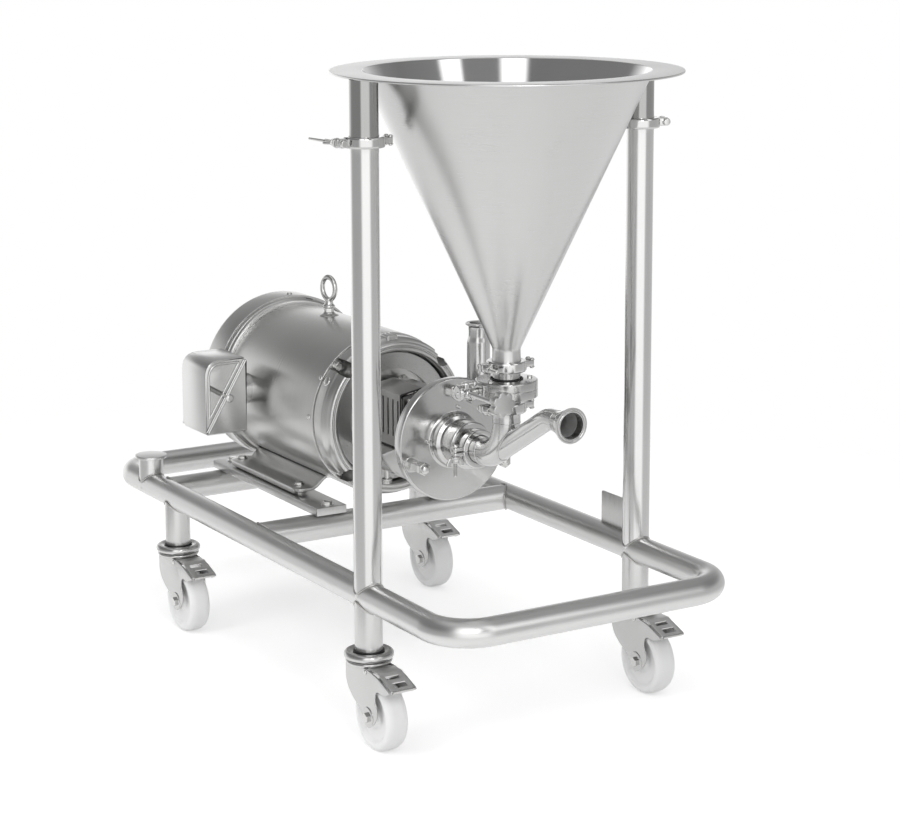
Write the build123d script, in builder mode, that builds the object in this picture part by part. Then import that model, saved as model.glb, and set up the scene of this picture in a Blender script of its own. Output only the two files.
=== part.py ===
from build123d import *
import math
import os

# Powder dissolver on a tube trolley. A hopper drops powder through a butterfly valve into a
# mixing elbow, where a side pipe brings in the liquid, and a centrifugal pump blends the two.
# Millimetres, +Z up, +X to the machine's right seen from the hopper end, +Y towards the motor.
# The origin is on the floor, in the middle of the machine's length and width.

os.makedirs("parts", exist_ok=True)

# Overall sizes
overall_length = 1412.4
rim_radius = 313.2
rim_height = 1184.6

# Frame: one loop of 2 inch tube with two cross tubes, two posts and two rear legs
tube_radius = 25.4
tube_wall = 1.65
post_spacing = 577.2
rail_height = 268.9
bend_radius = 76.2
bend_tail = 25.0
notch_fit = 0.02
front_tube_reach = 284.2
front_cross_reach = 446.5
rear_cross_reach = 861.5
rear_leg_reach = 799.9

# Clamped pipe joints: each lip is gripped by a two-piece clamp ring
pipe_bore = tube_radius - tube_wall
lip_radius = 32.0
lip_edge = 2.9
lip_depth = 6.4
gasket_thickness = 1.6
clamp_radius = 36.6
clamp_height = 19.0
clamp_split = 3.0
clamp_lug_reach = 54.0
clamp_lug_thickness = 7.0
clamp_bolt_radius = 4.0
clamp_bolt_length = 62.0

# Hopper
hopper_wall = 2.0
hopper_opening = 255.0
rim_thickness = 4.0
cone_foot_height = 674.0
hopper_lip_height = 653.3
post_joint_height = 1074.0

# Butterfly valve
valve_height = 612.0
valve_radius = 56.4
valve_body_height = 32.0
valve_lower_face = 577.7
disc_thickness = 6.0
disc_clearance = 0.35
stem_radius = 6.0
stem_fit = 0.06
handle_x = -88.0
lever_length = 118.0
lever_radius = 4.5
knob_radius = 18.0
knob_depth = 16.0

# Pump and motor share one axis
shaft_height = 478.3
elbow_radius = 70.0
inlet_face = 99.2
cover_face = 183.0
cover_thickness = 15.0
cover_radius = 117.5
housing_radius = 104.0
housing_back = 262.0
housing_wall = 6.0
cover_nut_circle = 92.0
impeller_radius = 88.0
impeller_front = 206.0
discharge_x = 86.6
discharge_reach = 235.0
discharge_radius = 22.0
discharge_neck_radius = 19.05
discharge_bore = discharge_neck_radius - tube_wall
discharge_bore_end = 536.0
discharge_throat = 15.0
discharge_throat_end = 492.0
discharge_lip_radius = 25.25
discharge_top = 684.0

# Liquid inlet pipe
side_pipe_radius = 19.05
side_pipe_bore = side_pipe_radius - tube_wall
side_pipe_rise = 30.0
side_bend_reach = 139.0
side_bend_height = 582.0
side_face_reach = 210.2

# Adapter between pump and motor
motor_face = 428.0
adapter_flange = 14.0
adapter_flange_radius = 126.0
adapter_radius = 104.0
adapter_wall = 10.0
adapter_rim_height = 438.0
bulkhead_front = 293.0
guard_half_width = 48.0
guard_front = 301.0
guard_eave = 546.0
guard_ridge = 555.0
guard_foot = 441.0
guard_wall = 1.5
guard_lap = 2.0

# Motor
shell_radius = 160.0
shell_wall = 4.0
shell_front = 450.0
shell_back = 818.0
rear_band_radius = 170.0
fan_cover_front = 838.0
fan_cover_back = 912.0
fan_cover_radius = 175.0
fan_cover_wall = 2.0
eye_reach = 672.0
foot_half_width = 152.0
foot_front = 530.0
foot_back = 840.0
foot_sheet = 5.0
foot_base = 318.3
foot_bolt_x = 127.0
foot_bolt_front = 570.0
foot_bolt_back = 824.0

# Bars that carry the motor across the two cross tubes
bar_width = 65.6
bar_height = 16.0
bar_x = 130.0
bar_front = 427.5
bar_back = 890.0

# Terminal box on the motor's left side
box_inner = 185.0
box_outer = 276.0
box_front = 680.0
box_back = 791.0
box_low = 418.0
box_high = 569.0
box_corner = 34.0
box_wall = 4.0
box_edge = 4.0
panel_border = 8.0
panel_depth = 1.5
tunnel_radius = 4.5
box_neck_radius = 30.0
box_neck_height = 492.0

# Swivel castors with brake pedals
wheel_radius = 62.5
wheel_width = 44.0
castor_trail = 44.0
castor_ring_radius = 44.0
castor_ring_low = 2 * wheel_radius + 31.5
castor_ring_high = castor_ring_low + 12.5
leg_foot = castor_ring_high
fork_sheet = 3.0
fork_half_gap = 25.0
axle_radius = 6.0
axle_fit = 0.06
pedal_pivot_back = 36.0
pedal_pivot_height = 2 * wheel_radius + 18.0

# Running gaps
turning_gap = 1.0
race_gap = 0.5

# Places that follow from the sizes above
hopper_y = rim_radius - overall_length / 2
rear_tube_y = overall_length / 2 - tube_radius
front_tube_y = hopper_y - front_tube_reach
rail_x = post_spacing / 2
rail_top = rail_height + tube_radius
bend_length = bend_radius + bend_tail
shaft_axis = Axis((0, 0, shaft_height), (0, 1, 0))


def save(piece, name):
    """Label a finished piece and write its STEP file."""
    piece.part.label = name
    export_step(piece.part, f"parts/{name}.step")


def behind(reach):
    """Y of a place measured back from the hopper's axis."""
    return hopper_y + reach


def turned_on_shaft(outline, sweep=360):
    """A body turned about the shaft axis from (reach, radius) points."""
    points = [(behind(reach), shaft_height + radius) for reach, radius in outline]
    with BuildPart() as piece:
        with BuildSketch(Plane.YZ):
            with BuildLine():
                Polyline(*points, close=True)
            make_face()
        revolve(axis=shaft_axis, revolution_arc=sweep)
    return piece


def turned_upright(x, y, outline):
    """A body turned about a vertical axis from (radius, height) points."""
    points = [(x + radius, height) for radius, height in outline]
    with BuildPart() as piece:
        with BuildSketch(Plane.XZ.offset(-y)):
            with BuildLine():
                Polyline(*points, close=True)
            make_face()
        revolve(axis=Axis((x, y, 0), (0, 0, 1)))
    return piece


def lip_outline(face, away, pipe, bore, lip, length):
    """Clamp lip and its pipe end as (radius, along) points, away from the joint's face."""
    return [
        (bore, face),
        (lip, face),
        (lip, face + away * lip_edge),
        (pipe, face + away * lip_depth),
        (pipe, face + away * length),
        (bore, face + away * length),
    ]


# Frame loop: two straight rails joined by a bent tube at each end
def rail(side):
    with BuildPart() as piece:
        with BuildSketch(Plane.XZ.offset(-(front_tube_y + bend_length))):
            with Locations((side * rail_x, rail_height)):
                Circle(tube_radius)
                Circle(tube_radius - tube_wall, mode=Mode.SUBTRACT)
        extrude(amount=-(rear_tube_y - front_tube_y - 2 * bend_length))
    return piece


def end_bend(start_y, end_y):
    with BuildPart() as piece:
        with BuildLine(Plane.XY.offset(rail_height)) as route:
            FilletPolyline(
                (-rail_x, start_y),
                (-rail_x, end_y),
                (rail_x, end_y),
                (rail_x, start_y),
                radius=bend_radius,
            )
        with BuildSketch(Plane.XZ.offset(-start_y)):
            with Locations((-rail_x, rail_height)):
                Circle(tube_radius)
                Circle(tube_radius - tube_wall, mode=Mode.SUBTRACT)
        sweep(path=route.line)
    return piece


save(rail(-1), "left_rail")
save(rail(1), "right_rail")
save(end_bend(front_tube_y + bend_length, front_tube_y), "front_bend")
save(end_bend(rear_tube_y - bend_length, rear_tube_y), "rear_bend")


# Cross tubes, notched at both ends to fit round the rails
def cross_tube(reach):
    with BuildPart() as piece:
        with BuildSketch(Plane.YZ.offset(-rail_x)):
            with Locations((behind(reach), rail_height)):
                Circle(tube_radius)
                Circle(tube_radius - tube_wall, mode=Mode.SUBTRACT)
        extrude(amount=post_spacing)
        with BuildSketch(Plane.XZ.offset(-behind(reach + 2 * tube_radius))):
            with Locations((-rail_x, rail_height), (rail_x, rail_height)):
                Circle(tube_radius + notch_fit)
        extrude(amount=4 * tube_radius, mode=Mode.SUBTRACT)
    return piece


save(cross_tube(front_cross_reach), "front_cross_tube")
save(cross_tube(rear_cross_reach), "rear_cross_tube")


# Upright tubes notched onto the rails: posts above, legs below
def upright_tube(places, low, high):
    with BuildPart() as piece:
        with BuildSketch(Plane.XY.offset(low)):
            with Locations(*places):
                Circle(tube_radius)
                Circle(tube_radius - tube_wall, mode=Mode.SUBTRACT)
        extrude(amount=high - low)
        with BuildSketch(Plane.XZ.offset(-2 * overall_length)):
            with Locations((-rail_x, rail_height), (rail_x, rail_height)):
                Circle(tube_radius + notch_fit)
        extrude(amount=4 * overall_length, mode=Mode.SUBTRACT)
    return piece


def post(side):
    piece = upright_tube([(side * rail_x, hopper_y)], rail_height, post_joint_height - lip_depth)
    lip = lip_outline(
        post_joint_height - gasket_thickness / 2, -1, tube_radius, pipe_bore, lip_radius, 2 * lip_depth
    )
    ring = turned_upright(side * rail_x, hopper_y, lip)
    with BuildPart() as whole:
        add(piece.part)
        add(ring.part)
    return whole


save(post(-1), "left_post")
save(post(1), "right_post")
rear_leg_y = behind(rear_leg_reach)
leg_places = [(side * rail_x, y) for side in (-1, 1) for y in (hopper_y, rear_leg_y)]
save(upright_tube(leg_places, leg_foot, rail_height), "castor_legs")

# Short capped socket on the left rail, near the rear bend
stub_y = behind(925.4)
stub_top = 331.0
stub_cap_radius = 33.0
stub_cap_height = 6.0
with BuildPart() as capped_stub:
    with BuildSketch(Plane.XY.offset(rail_height)):
        with Locations((-rail_x, stub_y)):
            Circle(tube_radius)
    extrude(amount=stub_top - stub_cap_height - rail_height)
    with BuildSketch(Plane.XY.offset(stub_top - stub_cap_height)):
        with Locations((-rail_x, stub_y)):
            Circle(stub_cap_radius)
    extrude(amount=stub_cap_height)
    chamfer(capped_stub.faces().sort_by(Axis.Z)[-1].edges(), 1.0)
    with BuildSketch(Plane.XZ.offset(-stub_y - 2 * tube_radius)):
        with Locations((-rail_x, rail_height)):
            Circle(tube_radius + notch_fit)
    extrude(amount=4 * tube_radius, mode=Mode.SUBTRACT)
save(capped_stub, "capped_stub")

# Flat plate welded behind the right post, standing on the rail
plate_length = 85.0
plate_height = 62.0
plate_thickness = 4.0
with BuildPart() as post_plate:
    with BuildSketch(Plane.YZ.offset(rail_x - plate_thickness / 2)):
        with Locations((hopper_y + tube_radius, rail_top)):
            Rectangle(plate_length, plate_height, align=(Align.MIN, Align.MIN))
    extrude(amount=plate_thickness)
save(post_plate, "post_plate")

# Two flat bars under the motor, with spacer pads below its feet and bolts down to the tubes
pad_height = foot_base - rail_top - bar_height
pad_radius = 17.0
bolt_radius = 5.0
bolt_head_radius = 9.5
bolt_head_height = 7.0
foot_places = [
    (side * foot_bolt_x, behind(reach))
    for side in (-1, 1)
    for reach in (foot_bolt_front, foot_bolt_back)
]
bar_places = [
    (side * bar_x, behind(reach))
    for side in (-1, 1)
    for reach in (front_cross_reach, rear_cross_reach)
]
with BuildPart() as mount_bars:
    with BuildSketch(Plane.XY.offset(rail_top)):
        with Locations((-bar_x, behind(bar_front)), (bar_x, behind(bar_front))):
            Rectangle(bar_width, bar_back - bar_front, align=(Align.CENTER, Align.MIN))
        with Locations(*foot_places):
            Circle(bolt_radius, mode=Mode.SUBTRACT)
    extrude(amount=bar_height)
save(mount_bars, "mount_bars")

with BuildPart() as mounting_bolts:
    with BuildSketch(Plane.XY.offset(rail_top + bar_height)):
        with Locations(*foot_places):
            Circle(pad_radius)
            Circle(bolt_radius, mode=Mode.SUBTRACT)
    extrude(amount=pad_height)
    with BuildSketch(Plane.XY.offset(rail_top + bar_height)):
        with Locations(*bar_places):
            RegularPolygon(bolt_head_radius, 6)
    extrude(amount=bolt_head_height)
    with BuildSketch(Plane.XY.offset(foot_base + foot_sheet)):
        with Locations(*foot_places):
            RegularPolygon(bolt_head_radius, 6)
    extrude(amount=bolt_head_height)
    with BuildSketch(Plane.XY.offset(rail_top)):
        with Locations(*foot_places):
            Circle(bolt_radius - 0.2)
    extrude(amount=foot_base + foot_sheet - rail_top)
save(mounting_bolts, "mounting_bolts")

# Motor feet: on each side a pressed sheet that curves up from its flange to meet the shell
knee_x = 112.0
foot_web = knee_x - 7.0
foot_rise = foot_base + 30.0
foot_top = shaft_height - shell_radius / 2
with BuildPart() as motor_foot:
    for side in (-1, 1):
        with BuildSketch(Plane.XZ.offset(-behind(foot_front))):
            with BuildLine():
                Polyline(
                    (side * (knee_x + 2.0), foot_base),
                    (side * foot_half_width, foot_base),
                    (side * foot_half_width, foot_base + foot_sheet),
                    (side * (knee_x + 5.0), foot_base + foot_sheet),
                )
                ThreePointArc(
                    (side * (knee_x + 5.0), foot_base + foot_sheet),
                    (side * (foot_web + 3.5), foot_base + foot_sheet + 7.0),
                    (side * foot_web, foot_rise),
                )
                Polyline(
                    (side * foot_web, foot_rise),
                    (side * foot_web, foot_top),
                    (side * (foot_web - foot_sheet), foot_top),
                    (side * (foot_web - foot_sheet), foot_rise),
                )
                ThreePointArc(
                    (side * (foot_web - foot_sheet), foot_rise),
                    (side * (foot_web - 1.5), foot_base + foot_sheet + 3.5),
                    (side * (knee_x + 2.0), foot_base),
                )
            make_face()
        extrude(amount=-(foot_back - foot_front))
    with BuildSketch(Plane.XY.offset(foot_base)):
        with Locations(*foot_places):
            Circle(bolt_radius)
    extrude(amount=foot_sheet, mode=Mode.SUBTRACT)
    with Locations((0, behind((foot_front + foot_back) / 2), shaft_height)):
        Cylinder(shell_radius, foot_back - foot_front + 2.0, rotation=(90, 0, 0), mode=Mode.SUBTRACT)
    with Locations((0, behind(foot_back), shaft_height)):
        band_reach = 2 * (foot_back - shell_back) + 1.0
        Cylinder(rear_band_radius, band_reach, rotation=(90, 0, 0), mode=Mode.SUBTRACT)
        cover_reach = 2 * (foot_back - fan_cover_front) + 1.0
        Cylinder(fan_cover_radius, cover_reach, rotation=(90, 0, 0), mode=Mode.SUBTRACT)
save(motor_foot, "motor_foot")

# Motor shell: a plain rolled tube
save(
    turned_on_shaft(
        [
            (shell_front, shell_radius - shell_wall),
            (shell_front, shell_radius),
            (shell_back, shell_radius),
            (shell_back, shell_radius - shell_wall),
        ]
    ),
    "motor_shell",
)

# Front end bell: a casting with a ringed rim round the adapter's flange, and four bolt pockets
bearing_radius = 40.0
bearing_depth = 20.0
front_bearing = motor_face + 12.0
rear_bearing = fan_cover_front - bearing_depth - 2.0
bell_bolt_circle = 146.0
pocket_radius = 13.0
rim_front = 395.0
rim_inner = 132.0
rim_ridge = 140.0
rim_outer = 148.0
bell_band_radius = 157.0
bell = turned_on_shaft(
    [
        (motor_face, 30.0),
        (motor_face, rim_inner - 3.0),
        (rim_front + 1.5, rim_inner - 1.0),
        (rim_front, rim_inner + 1.0),
        (rim_front, rim_ridge - 1.0),
        (rim_front + 3.0, rim_ridge),
        (rim_front + 3.0, rim_outer - 1.5),
        (rim_front + 4.5, rim_outer),
        (rim_front + 20.0, bell_band_radius - 4.0),
        (rim_front + 26.0, bell_band_radius),
        (shell_front, bell_band_radius),
        (shell_front, shell_radius - 17.0),
        (motor_face + 12.0, rim_inner),
        (motor_face + 12.0, bearing_radius + 10.0),
        (front_bearing + bearing_depth, bearing_radius + 10.0),
        (front_bearing + bearing_depth, bearing_radius),
        (front_bearing, bearing_radius),
        (front_bearing, 30.0),
    ]
)
pocket_floor = shell_front - 10.0
pocket_plane = Plane.XZ.offset(-behind(rim_front - 1.0))
with BuildPart() as front_end_bell:
    add(bell.part)
    with BuildSketch(pocket_plane):
        with Locations((0, shaft_height)):
            with PolarLocations(bell_bolt_circle + 2.0, 4, start_angle=45):
                Circle(pocket_radius)
    extrude(amount=-(pocket_floor - rim_front + 1.0), mode=Mode.SUBTRACT)
save(front_end_bell, "front_end_bell")

# Rear end bell, with the band that the fan cover slips over
save(
    turned_on_shaft(
        [
            (shell_back, bearing_radius),
            (shell_back, rear_band_radius - 3.0),
            (shell_back + 3.0, rear_band_radius),
            (fan_cover_front, rear_band_radius),
            (fan_cover_front, bearing_radius + 14.0),
            (fan_cover_front, 26.0),
            (rear_bearing + bearing_depth, 26.0),
            (rear_bearing + bearing_depth, bearing_radius),
        ]
    ),
    "rear_end_bell",
)

# Fan cover: a pressed cup with a slotted air grille in its back
grille_slots = 20
slot_inner = 42.0
slot_outer = 128.0
slot_width = 9.0
cover_cup = turned_on_shaft(
    [
        (fan_cover_front, fan_cover_radius - fan_cover_wall),
        (fan_cover_front, fan_cover_radius),
        (fan_cover_back - 10.0, fan_cover_radius),
        (fan_cover_back - 3.0, fan_cover_radius - 4.0),
        (fan_cover_back, fan_cover_radius - 12.0),
        (fan_cover_back, 0.0),
        (fan_cover_back - fan_cover_wall, 0.0),
        (fan_cover_back - fan_cover_wall, fan_cover_radius - 13.0),
        (fan_cover_back - 5.0, fan_cover_radius - 6.0),
        (fan_cover_back - 11.0, fan_cover_radius - fan_cover_wall),
    ]
)
with BuildPart() as fan_cover:
    add(cover_cup.part)
    with BuildSketch(Plane.XZ.offset(-behind(fan_cover_back - 8.0))):
        with Locations((0, shaft_height)):
            with PolarLocations((slot_inner + slot_outer) / 2, grille_slots):
                Rectangle(slot_outer - slot_inner, slot_width)
    extrude(amount=-12.0, mode=Mode.SUBTRACT)
save(fan_cover, "fan_cover")

# Stator, rotor on its shaft, bearings and fan
stator_front = 500.0
stator_back = 735.0
stator_bore = 86.0
rotor_gap = 1.5
save(
    turned_on_shaft(
        [
            (stator_front, stator_bore),
            (stator_front, shell_radius - shell_wall),
            (stator_back, shell_radius - shell_wall),
            (stator_back, stator_bore),
        ]
    ),
    "stator_core",
)

shaft_front = impeller_front + 14.0
shaft_back = fan_cover_back - 16.0
bearing_seat = 22.0
save(
    turned_on_shaft(
        [
            (shaft_front, 0.0),
            (shaft_front, 12.5),
            (impeller_front + 40.0, 12.5),
            (impeller_front + 40.0, 16.0),
            (front_bearing - 14.0, 16.0),
            (front_bearing - 14.0, bearing_seat),
            (stator_front, bearing_seat),
            (stator_front, stator_bore - rotor_gap),
            (stator_back, stator_bore - rotor_gap),
            (stator_back, bearing_seat),
            (rear_bearing + bearing_depth, bearing_seat),
            (rear_bearing + bearing_depth, 14.0),
            (shaft_back, 14.0),
            (shaft_back, 0.0),
        ]
    ),
    "rotor_shaft",
)

race_wall = 6.0
with BuildPart() as motor_bearings:
    for start in (front_bearing, rear_bearing):
        outer = turned_on_shaft(
            [
                (start, bearing_radius - race_wall),
                (start, bearing_radius),
                (start + bearing_depth, bearing_radius),
                (start + bearing_depth, bearing_radius - race_wall),
            ]
        )
        inner = turned_on_shaft(
            [
                (start, bearing_seat + stem_fit),
                (start, bearing_seat + race_wall),
                (start + bearing_depth, bearing_seat + race_wall),
                (start + bearing_depth, bearing_seat + stem_fit),
            ]
        )
        add(outer.part)
        add(inner.part)
        with BuildSketch(Plane.XZ.offset(-behind(start + 4.0))):
            with Locations((0, shaft_height)):
                Circle(bearing_radius - race_wall)
                Circle(bearing_seat + race_wall, mode=Mode.SUBTRACT)
        extrude(amount=-(bearing_depth - 8.0))
save(motor_bearings, "motor_bearings")

fan_hub_radius = 30.0
fan_blade_radius = 150.0
fan_blades = 8
fan_front = fan_cover_front + 12.0
fan_depth = 36.0
with BuildPart() as cooling_fan:
    with BuildSketch(Plane.XZ.offset(-behind(fan_front))):
        with Locations((0, shaft_height)):
            Circle(fan_blade_radius * 0.62)
    extrude(amount=-4.0)
    with BuildSketch(Plane.XZ.offset(-behind(fan_front))):
        with Locations((0, shaft_height)):
            Circle(fan_hub_radius)
            with PolarLocations((fan_hub_radius + fan_blade_radius) / 2, fan_blades):
                Rectangle(fan_blade_radius - fan_hub_radius + 4.0, 4.0)
    extrude(amount=-fan_depth)
    with BuildSketch(Plane.XZ.offset(-behind(fan_front))):
        with Locations((0, shaft_height)):
            Circle(14.0)
    extrude(amount=-fan_depth, mode=Mode.SUBTRACT)
save(cooling_fan, "cooling_fan")

# Screws of the motor: end bell bolts, shell screws and terminal box screws
bell_bolt_head = 8.5
drain_x = 56.0
drain_reach = 340.0
drain_low = 367.0
drain_head = 9.0
with BuildPart() as motor_screws:
    with BuildSketch(Plane.XZ.offset(-behind(pocket_floor - 9.0))):
        with Locations((0, shaft_height)):
            with PolarLocations(bell_bolt_circle + 2.0, 4, start_angle=45):
                RegularPolygon(bell_bolt_head, 6)
    extrude(amount=-9.0)
    with BuildSketch(Plane.XY.offset(drain_low)):
        with Locations((-drain_x, behind(drain_reach)), (drain_x, behind(drain_reach))):
            RegularPolygon(bell_bolt_head, 6)
    extrude(amount=drain_head)
    with BuildSketch(Plane.XY.offset(drain_low + drain_head)):
        with Locations((-drain_x, behind(drain_reach)), (drain_x, behind(drain_reach))):
            Circle(5.0)
    extrude(amount=18.0)
    cut_away = turned_on_shaft(
        [
            (motor_face, 0.0),
            (motor_face, adapter_radius),
            (bulkhead_front, adapter_radius),
            (bulkhead_front, 0.0),
        ]
    )
    add(cut_away.part, mode=Mode.SUBTRACT)
save(motor_screws, "motor_screws")

# Lifting eye on top of the shell
eye_height = 694.0
eye_ring_radius = 23.0
eye_bar_radius = 4.5
eye_turn = 8.0
eye_base_radius = 19.0
with BuildPart() as lifting_eye:
    with BuildSketch(Plane.XY.offset(shaft_height + shell_radius - 1.5)):
        with Locations((0, behind(eye_reach))):
            Circle(eye_base_radius)
    extrude(amount=7.5)
    with BuildSketch(Plane.XY.offset(shaft_height + shell_radius + 6.0)):
        with Locations((0, behind(eye_reach))):
            RegularPolygon(8.5, 6)
    extrude(amount=14.0)
    with BuildSketch(Plane.XY.offset(shaft_height + shell_radius + 20.0)):
        with Locations((0, behind(eye_reach))):
            Circle(6.0)
    extrude(amount=eye_height - eye_ring_radius - shaft_height - shell_radius - 20.0)
    with Locations((0, behind(eye_reach), eye_height)):
        Torus(eye_ring_radius, eye_bar_radius, rotation=(0, 90, -eye_turn))
    with Locations((0, behind(eye_reach), shaft_height)):
        Cylinder(shell_radius, 4 * eye_base_radius, rotation=(90, 0, 0), mode=Mode.SUBTRACT)
save(lifting_eye, "lifting_eye")


# Terminal box, split on the diagonal: the base is bolted to the shell, the cover comes away
def box_corners(gap):
    return [
        (-box_outer + gap, box_low + gap),
        (-box_inner - gap, box_low + gap),
        (-box_inner - gap, box_high - gap),
        (-box_outer + gap, box_high - gap),
    ]


def diagonal_half(upper):
    slope = (box_high - box_low) / (box_outer - box_inner)
    depth = box_back - box_front
    far = 3 * (box_high - box_low)
    below = (-box_inner + far, box_low - slope * far)
    above = (-box_outer - far, box_high + slope * far)
    corner = below if upper else above
    with BuildPart() as piece:
        with BuildSketch(Plane.XZ.offset(-behind(box_front))):
            with BuildLine():
                Polyline(*box_corners(0.0), close=True)
            make_face()
        extrude(amount=-depth)
        top_outer = piece.edges().filter_by(Axis.Y).sort_by(lambda e: e.center().Z - e.center().X)[-1]
        fillet(top_outer, box_corner)
        ends = piece.faces().filter_by(Axis.Y)
        rims = [e for face in ends for e in face.edges() if e.center().X < -box_inner - 1.0]
        fillet(rims, box_edge)
        with BuildSketch(Plane.XZ.offset(-behind(box_front + box_wall))):
            with BuildLine():
                Polyline(*box_corners(box_wall), close=True)
            make_face()
            inner = [v for v in vertices() if v.X < -box_inner - 2 * box_wall and v.Y > box_low + 50]
            fillet(inner, box_corner - box_wall)
        extrude(amount=-(depth - 2 * box_wall), mode=Mode.SUBTRACT)
        with BuildSketch(Plane.XZ.offset(-behind(box_front - 1.0))):
            with BuildLine():
                Polyline(
                    (-box_inner + far, box_high + slope * far),
                    (-box_outer - far, box_low - slope * far),
                    corner,
                    close=True,
                )
            make_face()
        extrude(amount=-(depth + 2.0), mode=Mode.SUBTRACT)
    return piece


def panel_corners(border):
    """Recessed panel of the cover's side, inside an even border along its three edges."""
    run = box_outer - box_inner
    climb = box_high - box_low
    length = math.hypot(run, climb)
    left = -box_outer + border
    top = box_high - border
    shift = border * length / run
    rise = climb / run
    low = box_low + rise * border + shift
    right = -box_outer + (top - box_low - shift) / rise
    return [(left, low), (left, top), (right, top)]


box_cover_half = diagonal_half(True)
tunnel_middle = (-(box_inner + box_outer) / 2, (box_low + box_high) / 2)
tunnel_tilt = math.degrees(math.atan2(box_outer - box_inner, box_high - box_low))
with BuildPart() as conduit_cover:
    add(box_cover_half.part)
    for face in (box_front, box_back - panel_depth):
        with BuildSketch(Plane.XZ.offset(-behind(face))):
            with BuildLine():
                Polyline(*panel_corners(panel_border), close=True)
            make_face()
            corner = [v for v in vertices() if v.X < -box_outer + 2 * panel_border and v.Y > box_high - 40]
            fillet(corner, box_corner - panel_border)
        extrude(amount=-panel_depth, mode=Mode.SUBTRACT)
    for face in (box_front, box_back):
        with Locations((tunnel_middle[0], behind(face), tunnel_middle[1])):
            Cylinder(
                tunnel_radius,
                1.2 * (box_outer - box_inner),
                rotation=(0, 90 + tunnel_tilt, 0),
                mode=Mode.SUBTRACT,
            )
save(conduit_cover, "conduit_cover")
base_half = diagonal_half(False)
with BuildPart() as conduit_box:
    add(base_half.part)
    with BuildSketch(Plane.YZ.offset(-box_inner)):
        with Locations((behind((box_front + box_back) / 2), box_neck_height)):
            Circle(box_neck_radius)
            Circle(box_neck_radius - 6.0, mode=Mode.SUBTRACT)
    extrude(amount=box_inner - shell_radius + 4.0)
    with Locations((0, behind((box_front + box_back) / 2), shaft_height)):
        Cylinder(shell_radius, 4 * box_neck_radius, rotation=(90, 0, 0), mode=Mode.SUBTRACT)
save(conduit_box, "conduit_box")

# Adapter: motor flange, open trough round the shaft, bulkhead and the flange behind the pump
adapter_turn = turned_on_shaft(
    [
        (housing_back, adapter_radius - 38.0),
        (housing_back, housing_radius),
        (housing_back + adapter_flange, housing_radius),
        (housing_back + adapter_flange, adapter_radius - 4.0),
        (bulkhead_front, adapter_radius - 4.0),
        (bulkhead_front, adapter_radius),
        (motor_face - adapter_flange, adapter_radius),
        (motor_face - adapter_flange, adapter_flange_radius),
        (motor_face, adapter_flange_radius),
        (motor_face, adapter_radius - adapter_wall),
        (housing_back + adapter_flange, adapter_radius - adapter_wall),
        (housing_back + adapter_flange, adapter_radius - 38.0),
    ]
)
window_length = motor_face - housing_back - 2 * adapter_flange
ledge_width = 40.0
ledge_height = 8.0
rib_reach = 339.5
rib_depth = 6.0
shaft_hole = 30.0
plate_half = guard_half_width - guard_wall - guard_lap
lap = guard_wall + guard_lap
with BuildPart() as pump_adapter:
    add(adapter_turn.part)
    with BuildSketch(Plane.XY.offset(adapter_rim_height)):
        with Locations((0, behind(housing_back + adapter_flange))):
            Rectangle(4 * adapter_radius, window_length, align=(Align.CENTER, Align.MIN))
    extrude(amount=3 * adapter_radius, mode=Mode.SUBTRACT)
    for side in (-1, 1):
        with BuildSketch(Plane.XY.offset(adapter_rim_height - ledge_height)):
            with Locations((side * (guard_half_width + ledge_width / 2 - 4.0), behind(bulkhead_front))):
                Rectangle(
                    ledge_width, motor_face - bulkhead_front - 2.0, align=(Align.CENTER, Align.MIN)
                )
        extrude(amount=ledge_height)
        with BuildSketch(Plane.XZ.offset(-behind(rib_reach))):
            with Locations((side * (guard_half_width + ledge_width / 2 - 4.0), adapter_rim_height)):
                Rectangle(ledge_width, 40.0, align=(Align.CENTER, Align.MAX))
        extrude(amount=-rib_depth)
    with BuildSketch(Plane.XZ.offset(-behind(bulkhead_front))):
        with Locations((0, shaft_height)):
            Circle(adapter_radius - 2.0)
        with Locations((0, adapter_rim_height)):
            Rectangle(
                4 * adapter_radius,
                4 * adapter_radius,
                align=(Align.CENTER, Align.MIN),
                mode=Mode.SUBTRACT,
            )
        with BuildLine():
            Polyline(
                (-plate_half, adapter_rim_height - 20.0),
                (-plate_half, guard_eave - lap),
                (0, guard_ridge - lap),
                (plate_half, guard_eave - lap),
                (plate_half, adapter_rim_height - 20.0),
                close=True,
            )
        make_face()
        with Locations((0, shaft_height)):
            Circle(shaft_hole, mode=Mode.SUBTRACT)
    extrude(amount=-(guard_front - bulkhead_front))
save(pump_adapter, "pump_adapter")

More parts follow.
